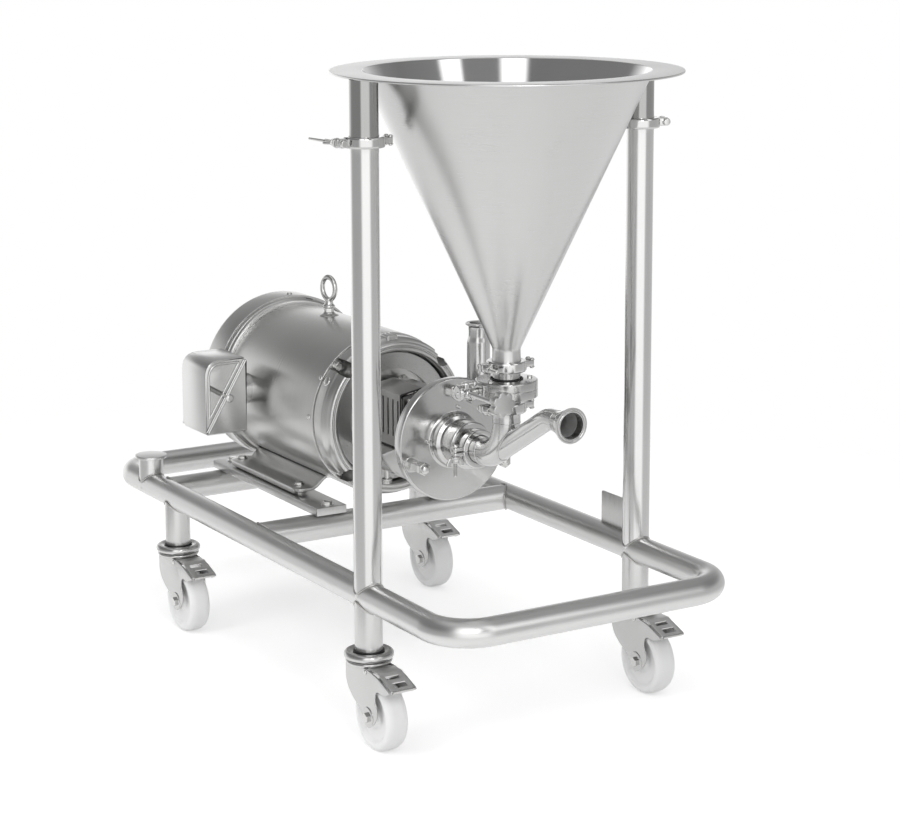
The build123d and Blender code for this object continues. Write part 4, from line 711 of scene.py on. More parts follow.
# Motor shell: a rolled satin tube. A turned band with a raised bead closes it at the rear, and
# four screws hold a spun cup with a slotted grille over the fan.
shaft = (0, hopper_y, shaft_height)
along_shaft = backward
turned("motor_shell_piece", [(450, 154), (450, 160, 1.2), (818, 160, 1),
                             (818, 154)], shaft, along_shaft, motor_steel, "motor_shell",
       around=192)
rear_band = [(818, 40), (818, 161), (819, 166.5, 2.5), (824, 170, 3),
             (829, 168.8, 1.5), (830.5, 166, 1), (832, 168.8, 1.5), (835.5, 170.4, 1.5),
             (838, 168, 1), (838, 40)]
turned("rear_band_piece", rear_band, shaft, along_shaft, motor_steel, "rear_end_bell", around=192)
cover_cup = [
    (838.2, 150), (838.2, 174.6, 1), (901, 174.8, 6), (909, 170.5, 5),
    (912, 161, 4), (912, 131), (910, 131), (910, 160, 3), (900, 172.6, 6),
    (841, 172.6), (841, 150),
]
turned("fan_cover_cup", cover_cup, shaft, along_shaft, motor_steel, "fan_cover", around=192)
grille_slots = []
for index in range(20):
    angle = 2 * math.pi * index / 20
    run = Vector((math.cos(angle), math.sin(angle)))
    side = Vector((-run.y, run.x))
    slot = []
    for radius, off in ((42, -4.5), (128, -4.5), (128, 4.5), (42, 4.5)):
        spot = run * radius + side * off
        slot.append((spot.x, spot.y, 4.4))
    grille_slots.append(slot)
pressed("fan_cover_grille", disc(0, 0, 131.5, 96), -912, -910, shaft, rightward, upright,
        motor_steel, "fan_cover", holes=grille_slots, edge=0.5)
for angle in (2, 92, 182, 272):
    turn = math.radians(angle)
    out = Vector((math.sin(turn), 0, math.cos(turn)))
    place = Vector(shaft) + Vector((0, 858, 0)) + out * 174.4
    turned(f"fan_cover_screw_{int(angle)}", [(0, 0), (0, 6.2), (1.4, 6, 1), (3.6, 4.2, 1.6),
           (3.6, 0)], place, out, bolt_steel, around=24)
# The notch in the rear band is a dark plate: painted shade in the notch.
notch_turn = math.radians(77.0)
notch_out = Vector((math.cos(notch_turn), 0, math.sin(notch_turn)))
notch_side = Vector((math.sin(notch_turn), 0, -math.cos(notch_turn)))
notch = oblong(-6, 6, -1, 8, 1, 1)
pressed("rear_band_notch", notch, 165, 170.8, Vector(shaft) + Vector((0, 826, 0)), notch_side,
        backward, seam_steel, edge=0.4)
for place in ((-136, hopper_y + 453, 562), (-160, hopper_y + 463, 486)):
    out = (Vector((place[0], 0, place[2] - shaft_height))).normalized()
    seat = Vector((0, place[1], shaft_height)) + out * 159.6
    turned(f"shell_screw_{int(place[2])}", [(0, 0), (0, 5.4), (1.6, 5.2, 1), (3.6, 3.6, 1.4),
                                            (3.6, 0)], seat, out, bolt_steel, around=24)


# Front end bell: a casting turned on its rim, with four round pockets for the long motor bolts
# and a ribbed boss on top.
def cut_out(piece, cutters):
    """Removes temporary solids from a piece and deletes them; the result is plain mesh."""
    for cutter in cutters:
        knife = piece.modifiers.new("cut", "BOOLEAN")
        knife.operation = "DIFFERENCE"
        knife.solver = "EXACT"
        knife.object = cutter
    bpy.context.view_layer.update()
    whole = piece.evaluated_get(bpy.context.evaluated_depsgraph_get())
    mesh = bpy.data.meshes.new_from_object(whole)
    piece.modifiers.clear()
    piece.data = mesh
    mesh.set_sharp_from_angle(angle=math.radians(32))
    for cutter in cutters:
        bpy.data.objects.remove(cutter)


def drill(place, axis, low, high, radius):
    """A temporary cylinder for cut_out."""
    around = 48
    form = bmesh.new()
    place, axis = Vector(place), Vector(axis).normalized()
    side = axis.orthogonal().normalized()
    up = axis.cross(side)
    rings = []
    for level in (low, high):
        arms = [(side * a + up * b) * radius for a, b in disc(0, 0, 1.0, around)]
        rings.append([form.verts.new((place + axis * level + arm) * mm) for arm in arms])
    for i in range(around):
        on = (i + 1) % around
        form.faces.new((rings[0][i], rings[0][on], rings[1][on], rings[1][i]))
    form.faces.new(rings[0])
    form.faces.new(rings[1])
    bmesh.ops.recalc_face_normals(form, faces=form.faces)
    mesh = bpy.data.meshes.new("drill")
    form.to_mesh(mesh)
    form.free()
    return placed("drill", mesh)


bell_outline = [(428, 30), (428, 128, 2), (398, 131, 2), (395, 134, 1.6),
                (395, 138.6, 1.2), (398, 140, 1.2), (398, 141.6, 0.8), (395.6, 143, 1),
                (396.5, 147.2, 1.6), (400, 149.4, 2), (408, 150.4, 3), (415, 153, 3),
                (419, 156.6, 2.5), (447, 157, 1.5), (449.6, 155.6, 1), (449.6, 153.6),
                (458, 153.6), (458, 126), (440, 118), (440, 50), (460, 50),
                (460, 40), (440, 40), (440, 30)]
bell = turned("front_end_bell_piece", bell_outline, shaft, along_shaft, motor_steel,
              "front_end_bell", around=160)
corners = [Vector((math.cos(turn), 0, math.sin(turn)))
           for turn in (math.radians(45 + 90 * quarter) for quarter in range(4))]
pocket_place, pocket_radius, pocket_end = 150, 15.5, 450.4
cut_out(bell, [drill(Vector(shaft) + out * pocket_place, along_shaft, 390, pocket_end,
                     pocket_radius) for out in corners])
# The walls and floors of the four pockets take a dark steel that is painted shade.
shade_steel = steel("painted_shade_inner_steel", (0.24, 0.24, 0.235), 0.42, 1.0, 1.0, along_seam=False)
bell.data.materials.append(shade_steel)
for face in bell.data.polygons:
    beside = Vector((abs(face.center.x), 0, abs(face.center.z - shaft_height * mm)))
    if (beside - corners[0] * (pocket_place * mm)).length < (pocket_radius + 0.3) * mm:
        face.material_index = 1
for quarter, out in enumerate(corners):
    hex_head(f"bell_bolt_{quarter}", Vector(shaft) + out * 147 + Vector((0, pocket_end, 0)),
             forward, 9.6, 9, "motor_screws", washer=13.0)
boss = [(-13, -8, 3), (13, -8, 3), (11, 8, 4), (-11, 8, 4)]
boss_place = (0, hopper_y, shaft_height + 153)
pressed("bell_top_boss", boss, -444, -412, boss_place, rightward, upright, motor_steel,
        edge=2.0)
for x in (-8, 0, 8):
    rib = [(411, -2, 1), (436, 4, 1), (436, 9.6, 2), (414, 8.6, 3)]
    pressed(f"bell_top_rib_{int(x) + 8}", rib, x - 1.3, x + 1.3, boss_place, backward, upright,
            motor_steel)
plug_out = Vector((-math.cos(math.radians(31)), 0, math.sin(math.radians(31))))
turned("bell_side_plug", [(0, 0), (0, 10.5, 1), (3.4, 9.4, 2), (4.6, 5, 2), (4.6, 0)],
       Vector(shaft) + Vector((0, 433, 0)) + plug_out * 155.4, plug_out, bolt_steel, around=32)

# Lifting eye: a forged ring on a collar. Its shank is screwed into a flared boss that is welded
# on top of the shell.
eye_y = hopper_y + 672.0
eye = (0, eye_y, 0)
turned("lifting_eye_boss", [(634, 0), (634, 21), (638.2, 20, 2), (641.5, 12.5, 3),
                            (645, 10.6, 1.5), (645, 0)], eye, upright, motor_steel,
       "lifting_eye", around=48)
hex_head("lifting_eye_nut", (0, eye_y, 645), upright, 9.6, 9, "lifting_eye")
turned("lifting_eye_collar", [(654, 0), (654, 12.4, 1.4), (658.5, 12.4, 1.4),
                              (660, 9.6, 2), (666.5, 8, 2), (673, 8.6, 2), (673, 0)],
       eye, upright, bolt_steel, "lifting_eye", around=40)
ring_turn = math.radians(-12.0)
ring_route = []
for step in range(64):
    angle = 2 * math.pi * step / 64
    flat = math.cos(angle) * 19.6
    ring_route.append((flat * math.sin(ring_turn), eye_y + flat * math.cos(ring_turn),
                       693 + 23 * math.sin(angle)))
swept("lifting_eye_ring", ring_route, 5, bolt_steel, "lifting_eye", closed=True, around=20)

# Terminal box: a cast base on the shell's side and a cover, split on the diagonal. A screw in a
# round tunnel draws the cover down; a rolled border runs round its recessed panel.
box_steel = steel("cast_box_steel", (0.60, 0.60, 0.595), 0.24, 1.1, 1.1, along_seam=False,
                  bump=0.08)
box_plane = ((0, hopper_y, 0), rightward, upright)
cover_shape = [(-276, 421.5, 2), (-276, 569, 34), (-187, 569, 2)]
base_shape = [(-273.5, 418, 3), (-185, 418, 5), (-185, 565, 2)]
pressed("conduit_base_piece", base_shape, -791, -680, *box_plane, box_steel, "conduit_box",
        edge=2.4)
pressed("conduit_cover_piece", cover_shape, -791, -681.8, *box_plane, box_steel, "conduit_cover",
        edge=2.4)
box_front = hopper_y + 680.6
climb = Vector((91, 0, 151)).normalized()
square = Vector((-climb.z, 0, climb.x))
middle = Vector((-230.5, 0, 493.5))
tunnel_place = middle + Vector((0, box_front + 1, 0))
panel = [(-268, 450, 4), (-268, 561, 27), (-201, 561, 4)]
border = [(a, box_front + 0.4, b) for a, b in eased(panel, 8)]
swept("conduit_cover_border", border, 2.6, box_steel, "conduit_cover", closed=True, around=16)
for shift, name in ((1.8, "cover"), (-2.2, "base")):
    start = Vector((-275, box_front, 419.5)) + square * shift + climb * 5.0
    end = Vector((-185.5, box_front, 568)) + square * shift - climb * 5.0
    swept(f"conduit_{name}_lip", [start, end], 2.2, box_steel, around=16)
channel = [(9, 0), (9, 6.4, 1)]
for step in range(6):
    channel += [(12 + step * 5, 6.4, 0.8), (14.5 + step * 5, 5.6, 0.8)]
channel += [(42, 6.4, 1), (42, 0)]
# The screw's round tunnel is drawn dark: painted shade inside it.
turned("conduit_screw_channel", channel, tunnel_place + Vector((0, 3.4, 0)), square, shade_steel,
       "conduit_cover", around=40)
turned("conduit_screw_nut", rod(1, 9.4, 5.4, 0.8, 0.8), tunnel_place + Vector((0, 1, 0)),
       square, bolt_steel, around=6, sharp=22)
turned("conduit_screw_boss", [(-2, 0), (-2, 9), (6, 8.6, 3), (8.5, 6, 3), (8.5, 0)],
       tunnel_place - square * 9 + Vector((0, 4, 0)), forward, box_steel, around=32)
turned("conduit_neck", [(150, 0), (150, 31, 2), (186.5, 30), (186.5, 0)],
       (0, hopper_y + 735.5, 492), leftward, box_steel, "conduit_box", around=64)

# Adapter and shaft guard: the trough casting between motor and pump, and a folded sheet guard
# over the shaft with louvre slots. Black strips run along its foot on the ledge; the black strip
# round its front at the bulkhead is painted shadow of the gap there.
neck_radius = 62.0


def softened(node, finish, edge):
    """A copy of a CAD piece with its edges broken, as a file or a tumbler leaves them. The
    adapter's hidden front flange is drawn in to the width of the pump's neck."""
    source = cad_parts[node]
    form = bmesh.new()
    form.from_mesh(source.data)
    bmesh.ops.remove_doubles(form, verts=form.verts, dist=2e-6)
    for vert in form.verts if node == "pump_adapter" else ():
        out = Vector((vert.co.x, 0, vert.co.z - shaft_height * mm))
        if vert.co.y < (hopper_y + 292.6) * mm and out.length > neck_radius * mm:
            out *= neck_radius * mm / out.length
            vert.co = Vector((out.x, vert.co.y, out.z + shaft_height * mm))
    bmesh.ops.dissolve_limit(form, angle_limit=math.radians(0.6), verts=form.verts,
                             edges=form.edges)
    mesh = bpy.data.meshes.new(node + "_piece")
    form.to_mesh(mesh)
    form.free()
    mesh.shade_smooth()
    mesh.set_sharp_from_angle(angle=math.radians(30.0))
    mesh.materials.clear()
    mesh.materials.append(finish)
    piece = placed(node + "_piece", mesh)
    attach(piece, "machine")
    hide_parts(node)
    break_edges(piece, edge, 30.0).harden_normals = True


def moulded(name, tone, gloss, change):
    """Rubber or plastic out of a mould: fine pores from noise, in colour and relief."""
    finish, tree = blank_finish(name)
    place = wired(tree, "ShaderNodeTexCoord")
    pores = wired(tree, "ShaderNodeTexNoise", Vector=place.outputs["Object"], Scale=900.0,
                  Detail=2.0)
    shade = stepped(tree, pores.outputs[0],
                    [(0.35, tone * (1 - change)), (0.65, tone * (1 + change))])
    dull = arithmetic(tree, "MULTIPLY_ADD", pores.outputs[0], 0.15, gloss - 0.07)
    relief = wired(tree, "ShaderNodeBump", Height=pores.outputs[0], Strength=0.2)
    relief.inputs["Distance"].default_value = 0.0002
    skin = wired(tree, "ShaderNodeBsdfPrincipled", i0=shade)
    tree.links.new(dull, skin.inputs["Roughness"])
    tree.links.new(relief.outputs[0], skin.inputs["Normal"])
    wired(tree, "ShaderNodeOutputMaterial", i0=skin.outputs[0])
    return finish


# Black rubber for the gaskets and seals, also used as painted shade for the guard's gap and
# inside.
black_rubber = moulded("black_seal_rubber_and_painted_shade", 0.012, 0.50, 0.22)
adapter_steel = steel("blasted_adapter_steel", (0.47, 0.47, 0.465), 0.30, 1.2, 1.2,
                      along_seam=False)
softened("pump_adapter", adapter_steel, 0.8)
softened("shaft_guard", motor_steel, 0.5)
for side, name in sides:
    strip = [(side * 47.2, hopper_y + reach, 439.6) for reach in (303, 413)]
    swept(f"guard_foot_strip_{name}", strip, 1.9, black_rubber, around=12)
gable_shape = ((-47.4, 442), (-47.4, 545.6), (0, 554.4), (47.4, 545.6), (47.4, 442))
gable = [(x, hopper_y + 300.6, z) for x, z in gable_shape]
swept("guard_front_gap_shadow", bent_route(gable, 2), 1.7, black_rubber, around=12)
# A black rod inside the guard is painted shade seen through its louvre slots.
swept("guard_inner_shade", [(0, hopper_y + 303, 495), (0, hopper_y + 412, 495)], 34,
      black_rubber, around=24)
turned("bulkhead_screw", [(0, 0), (0, 5, 0.8), (3.6, 4.6, 1.2), (3.6, 0)],
       (-31.2, hopper_y + 293, 534.2), forward, bolt_steel, around=24)
for side, name in sides:
    hex_head(f"drain_bolt_{name}", (side * 56, hopper_y + 340, 376), downward, 8.8, 8,
             "motor_screws", washer=10.5)
    turned(f"drain_bolt_shank_{name}", rod(375, 398, 5), (side * 56, hopper_y + 340, 0),
           upright, bolt_steel, "motor_screws", around=24)


# Pump housing: a turned stainless volute with a flange towards its cover and a neck towards the
# adapter. The discharge pipe stands upright on its right side and ends in a 1.5 inch ferrule.
pump_steel = steel("satin_pump_steel", (0.58, 0.58, 0.575), 0.22, 0.8, 160.0, bump=0.06)
housing_outline = [(198.2, 90.2), (198.2, 114.5, 1), (208, 114.5, 1.2), (209, 97, 3),
                   (230, 95.6, 4), (238, 92, 4), (243.4, 83, 5), (244, 64, 4),
                   (248, 61, 2), (262, 61, 0.6), (262, 31), (241, 31),
                   (241, 84, 3), (238.6, 90.2, 2)]
turned("pump_housing_piece", housing_outline, shaft, along_shaft, pump_steel, "pump_housing",
       around=192)
thin_radius, thin_bore = 19.05, 17.4
discharge = (86.6, hopper_y + 235, 0)
discharge_outline = ferrule(684, -1, 14, thin_radius, thin_bore, 25.25) + [
    (658, thin_radius, 2), (648, 22, 2), (462, 22, 14), (462, 0), (560, 0),
    (560, thin_bore),
]
turned("discharge_pipe", discharge_outline, discharge, upright, pump_steel, "pump_housing",
       lengthwise=True)

# Pump cover: a turned disc with a stepped hub that carries the inlet ferrule, polished on its
# face. Three long domed nuts on washers hold it to the housing.
cover_steel = steel("polished_cover_steel", (0.56, 0.56, 0.555), 0.17, 0.6, 200.0, bump=0.04,
                    spread=0.04, smudges=0.04)
cover_outline = [
    (100, pipe_bore), (100, lip_radius, 0.5), (102.9, lip_radius, 0.7), (106.4, 27.4, 1.5),
    (118, 28.4, 1), (120, 43, 1.2), (122, 45, 1.2), (143, 45, 1.2),
    (146, 42, 1.2), (162, 42, 1.5), (166, 50, 2), (179, 50, 1.2),
    (183, 54, 1.2), (183, 115, 0.6), (185, 117.5, 1.4), (198, 117.5, 1),
    (198, 60), (187, 40), (163, pipe_bore),
]
turned("pump_cover_piece", cover_outline, shaft, along_shaft, cover_steel, "pump_cover",
       around=192)


def on_cover(angle, radius):
    """A place on the cover's face, in degrees and millimetres from its centre."""
    turn = math.radians(angle)
    return Vector(shaft) + Vector((radius * math.cos(turn), 183.0, radius * math.sin(turn)))


nut_dome = [(11, 0), (11, 9.2, 0.6), (14, 8, 2), (16.4, 5.4, 3), (17, 2, 1),
            (17, 0)]
for number, (angle, radius) in enumerate(((84, 90), (201.5, 98), (332.7, 96))):
    place = on_cover(angle, radius)
    hex_head(f"cover_nut_{number}", place, forward, 11.5, 36, "cover_nuts", washer=15.5)
    place.y -= 36.5
    hex_head(f"cover_nut_end_{number}", place, forward, 13, 11, "cover_nuts")
    turned(f"cover_nut_dome_{number}", nut_dome, place, forward, bolt_steel, "cover_nuts",
           around=40)
for angle, radius in ((177, 58), (81, 62.5)):
    turned(f"cover_pin_{int(angle)}", [(0, 0), (0, 4.2, 0.5), (5.5, 3.6, 1.4), (5.5, 0)],
           on_cover(angle, radius), forward, bolt_steel, around=28)

# Mixing elbow: a 2 inch bend from the valve down into the pump, with ferrules butt-welded on.
# The 1.5 inch liquid pipe rises forwards out of it, and a reducer opens it to 2 inches.
elbow_steel = steel("polished_elbow_steel", (0.57, 0.57, 0.565), 0.20, 0.9, 120.0, bump=0.05,
                    spread=0.03, smudges=0.05)
bend = bent_route([(0, hopper_y, 558), (0, hopper_y, shaft_height),
                   (0, hopper_y + 80, shaft_height)], 70)
swept("elbow_bend", bend, tube_radius, elbow_steel, "mixing_elbow", bore=pipe_bore, around=72)
top_ferrule = ferrule(576.1, -1, 18.2) + [(557.9, pipe_bore)]
turned("elbow_top_ferrule", top_ferrule, (0, hopper_y, 0), upright, elbow_steel, "mixing_elbow")
end_ferrule = ferrule(98.4, -1, 18.6) + [(79.8, pipe_bore)]
turned("elbow_inlet_ferrule", end_ferrule, shaft, along_shaft, elbow_steel, "mixing_elbow")
opening_height = 582.0
pipe_around = 64
pipe_low = Vector((0, hopper_y + 22, 489.05))
pipe_high = Vector((0, hopper_y - 139, opening_height))
pipe_route = bent_route([pipe_low, pipe_high, (0, hopper_y - 168.4, opening_height)], 41.9)
pipe = swept("liquid_pipe", pipe_route, thin_radius, elbow_steel, "mixing_elbow", bore=thin_bore,
             around=pipe_around)
reducer = ferrule(-210.2, 1, 13) + [
    (-192, tube_radius, 3), (-170, thin_radius, 3), (-167, thin_radius),
    (-167, thin_bore), (-170, thin_bore), (-192, pipe_bore),
]
opening = turned("liquid_reducer", reducer, (0, hopper_y, opening_height), along_shaft,
                 elbow_steel, "mixing_elbow")
# The wall behind the opening is left dull, as the bore is pickled and not polished.
bore_steel = steel("pickled_bore_steel", (0.72, 0.72, 0.715), 0.55, 0.9, 120.0, bump=0.03,
                   spread=0.03)
for tube in (pipe, opening):
    tube.data.materials.append(bore_steel)
for face in opening.data.polygons:
    out = Vector((face.center.x, 0, face.center.z - opening_height * mm))
    deep = face.center.y > (hopper_y - 193.0) * mm
    if deep and out.length < (pipe_bore + 0.15) * mm and face.normal.dot(out) < 0:
        face.material_index = 1
wall_faces = pipe_around * (len(pipe_route) - 1)
for face in pipe.data.polygons[wall_faces:2 * wall_faces]:
    face.material_index = 1


def weld_ring(name, place, axis, radius):
    """A thin ground bead right round a tube."""
    place, axis = Vector(place), Vector(axis).normalized()
    side = axis.orthogonal().normalized()
    up = axis.cross(side)
    route = [place + (side * a + up * b) * radius for a, b in disc(0, 0, 1.0, 72)]
    swept(name, route, 0.9, elbow_steel, closed=True, around=10)


weld_ring("elbow_top_weld", (0, hopper_y, 548), upright, 25.2)
weld_ring("elbow_inlet_weld", (0, hopper_y + 70, shaft_height), backward, 25.2)
weld_ring("liquid_pipe_weld", (0, hopper_y - 168, opening_height), backward, 18.9)
pipe_run = (pipe_high - pipe_low).normalized()
pipe_side = Vector(rightward)
pipe_up = pipe_run.cross(pipe_side)
saddle = []
for a, b in disc(0, 0, 1, 72):
    start = pipe_low + (pipe_side * a + pipe_up * b) * 19.3
    travelled = 4.0
    while min((start + pipe_run * travelled - spot).length for spot in bend) < tube_radius + 0.3:
        travelled += 0.5
    saddle.append(start + pipe_run * travelled)
swept("liquid_pipe_saddle_weld", saddle, 1.5, elbow_steel, closed=True, around=10)

# Butterfly valve body: two turned stainless halves between clamp ferrules, with a block on the
# left that carries the stem. A black ring shows round the upper neck.
valve_steel = steel("turned_valve_steel", (0.49, 0.49, 0.485), 0.20, 0.8, 80.0, bump=0.05,
                    spread=0.05, smudges=0.05)
valve_height = 612.0
body_outline = ferrule(577.7, 1, 13) + [
    (596, tube_radius, 1.5), (596, 56.4, 2.5), (611.2, 56.4, 0.5), (611.7, 55.8, 0.2),
    (612.3, 55.8, 0.2), (612.8, 56.4, 0.5), (628, 56.4, 2.5), (628, tube_radius, 1.5),
] + ferrule(651.7, -1, 13)[::-1]
turned("valve_body_piece", body_outline, (0, hopper_y, 0), upright, valve_steel, "valve_body",
       around=160)
pressed("valve_stem_block", oblong(-20, 20, 599, 625, 2, 2), -62, -50,
        (0, hopper_y, 0), backward, upright, valve_steel, "valve_body",
        holes=[disc(0, valve_height, 6.3, 32)], edge=1.2)
neck_seal = [(x, y, 628.9) for x, y in disc(0, hopper_y, 29, 72)]
swept("valve_neck_black_ring", neck_seal, 1.4, black_rubber, closed=True, around=12)
for side, name in sides:
    hex_head(f"valve_body_bolt_{name}", (side * 42, hopper_y - 12, 628), upright, 4.6, 3.6)

# Valve disc: a thin plate, turned and polished, on a stem that runs right across the bore and
# out to the handle.
valve_pivot = (0, hopper_y, valve_height)
turned("valve_disc_plate", [(-3, 0), (-3, 21.4, 0.8), (-1, 23.4, 0.6), (1, 23.4, 0.6),
                            (3, 21.4, 0.8), (3, 0)], valve_pivot, upright, cover_steel,
       "valve_disc", "valve")
turned("valve_stem", rod(-97, 39.2, 6, 0.6, 0.6), valve_pivot, rightward, bolt_steel,
       "valve_disc", "valve", around=40)

# Valve handle: a turned hub with a round cap, a lever screwed into a ball, and a spring lock pin
# above the hub. The lobed knob on the lever's end is cast and left matt.
knob_steel = steel("matt_knob_steel", (0.50, 0.50, 0.495), 0.42, 1.0, 1.0, along_seam=False,
                   bump=0.12, smudges=0.03)
handle_x = -88.0
lever_end = (handle_x, hopper_y, valve_height)
turned("handle_hub", rod(-96, -76, 11, 0.8, 1.4), valve_pivot, rightward, turned_steel,
       "valve_handle", "valve", around=56)
cap = [(-105, 0), (-105, 2.4, 0.8), (-103.2, 3.2), (-103.2, 8.6), (-104, 9.4),
       (-104, 12.6, 1), (-102.6, 14, 1), (-97, 14, 1), (-95.8, 12.8, 0.8),
       (-95.8, 0)]
turned("handle_cap", cap, valve_pivot, rightward, cover_steel, "valve_handle", "valve", around=64)
link = [(-8.2, -3, 2), (8.2, -3, 2), (5.6, 19.6, 5), (-5.6, 19.6, 5)]
pressed("handle_link", link, -92, -82, valve_pivot, backward, upright, turned_steel,
        "valve_handle", "valve", edge=1.0)
lock_pin = (0, hopper_y, valve_height + 15)
turned("lock_pin", rod(-94.5, -66, 3.2, 0.8), lock_pin, rightward, bolt_steel, "valve_handle",
       "valve", around=32)
turned("lock_pin_ball", [(-72.6, 0), (-72.6, 3.6, 0.8), (-71, 5, 1.6), (-68, 5.6, 2),
                         (-64.8, 4.6, 1.6), (-63.2, 2, 1), (-63.2, 0)], lock_pin, rightward,
       cover_steel, "valve_handle", "valve", around=40)
turned("lever_ball", [(-17.5, 0), (-17.5, 4.8, 1), (-15, 7.6, 3), (-10, 9.2, 4),
                      (-5, 7.8, 3), (-2.5, 4), (-2.5, 0)], lever_end, backward, cover_steel,
       "valve_handle", "valve", around=48)
turned("lever_rod", rod(-120, -7, 4.5, 0.6), lever_end, backward, turned_steel,
       "valve_handle", "valve", around=40)
lobes = []
for step in range(112):
    angle = 2 * math.pi * step / 112
    radius = 21.2 + 2.2 * math.cos(7 * angle) - 0.6 * math.cos(14 * angle)
    lobes.append((radius * math.cos(angle), radius * math.sin(angle)))
pressed("lever_knob", lobes, 117, 134, Vector(lever_end) + Vector((-1, 0, 3)), rightward,
        upright, knob_steel, "valve_handle", "valve", edge=2.2)


# Hopper: a cone of thin satin sheet welded to a flat ring at the top and a short 2 inch neck
# with a clamp ferrule below. The outside is brushed round the cone; the inside is polished.
cone_steel = steel("brushed_cone_steel", (0.585, 0.585, 0.58), 0.30, 0.9, 300.0, stretch=0.4,
                   about="Z", bump=0.05, spread=0.025)
polished_steel = steel("mirror_polished_steel", (0.66, 0.66, 0.66), 0.085, 1.0, 120.0, bump=0.03,
                       spread=0.03, smudges=0.03)
rim_height = 1184.6
rim_radius = 313.2
cone_foot = 684.0
hopper_outline = [
    (653.3, pipe_bore, 0.4), (653.3, 26), (654.2, 26.8, 0.4), (654.2, 28.2, 0.4), (653.3, 29),
    (653.3, lip_radius, 0.5), (656.2, lip_radius, 0.7), (659.7, 25.8, 2),
    (cone_foot, tube_radius, 3), (rim_height - 4, 257, 3),
    (rim_height - 4, rim_radius, 1.8), (rim_height, rim_radius, 1.8), (rim_height, 255, 1.6),
    (cone_foot, pipe_bore, 3),
]
cone = turned("hopper_cone", hopper_outline, (0, hopper_y, 0), upright, cone_steel, "hopper",
              around=192)
# The rim's upward face gets a rougher satin and a lighter tone; the lighter tone is painted light
# from above.
rim_steel = steel("satin_painted_light_rim_steel", (0.78, 0.78, 0.775), 0.34, 0.9, 120.0, bump=0.03,
                  spread=0.02)
cone.data.materials.append(polished_steel)
cone.data.materials.append(rim_steel)
for face in cone.data.polygons:
    out = Vector((face.center.x, face.center.y - hopper_y * mm, 0)).normalized()
    if face.normal.z > 0.9:
        face.material_index = 2
    elif face.normal.dot(out) < -0.2:
        face.material_index = 1
# The stubs get a tone far darker than the posts' steel: a painted dark reflection on their mirror
# polish.
stub_steel = steel("drawn_painted_shade_stub_steel", (0.36, 0.36, 0.355), 0.10, 0.9, 120.0, bump=0.03,
                   spread=0.04, smudges=0.03)
for side, name in sides:
    outline = ferrule(post_joint_height + gasket_half, 1, 22)
    outline += [(rim_height - 4.2, tube_radius), (rim_height - 4.2, pipe_bore)]
    turned(name + "_hopper_stub", outline, (side * rail_x, hopper_y, 0), upright, stub_steel,
           "hopper_stubs", around=72, lengthwise=True)


# Pipe clamps: two cast half rings, polished bright, joined by a double-pin hinge. A swing bolt
# draws their lugs together, with a wing nut or, at the valve, a hexagon nut. A black gasket sits
# between the ferrules.
clamp_steel = steel("polished_clamp_steel", (0.58, 0.58, 0.575), 0.14, 0.8, 0.8, along_seam=False,
                    bump=0.05, smudges=0.05)
hinge_reach, bolt_reach = 50, 48.5


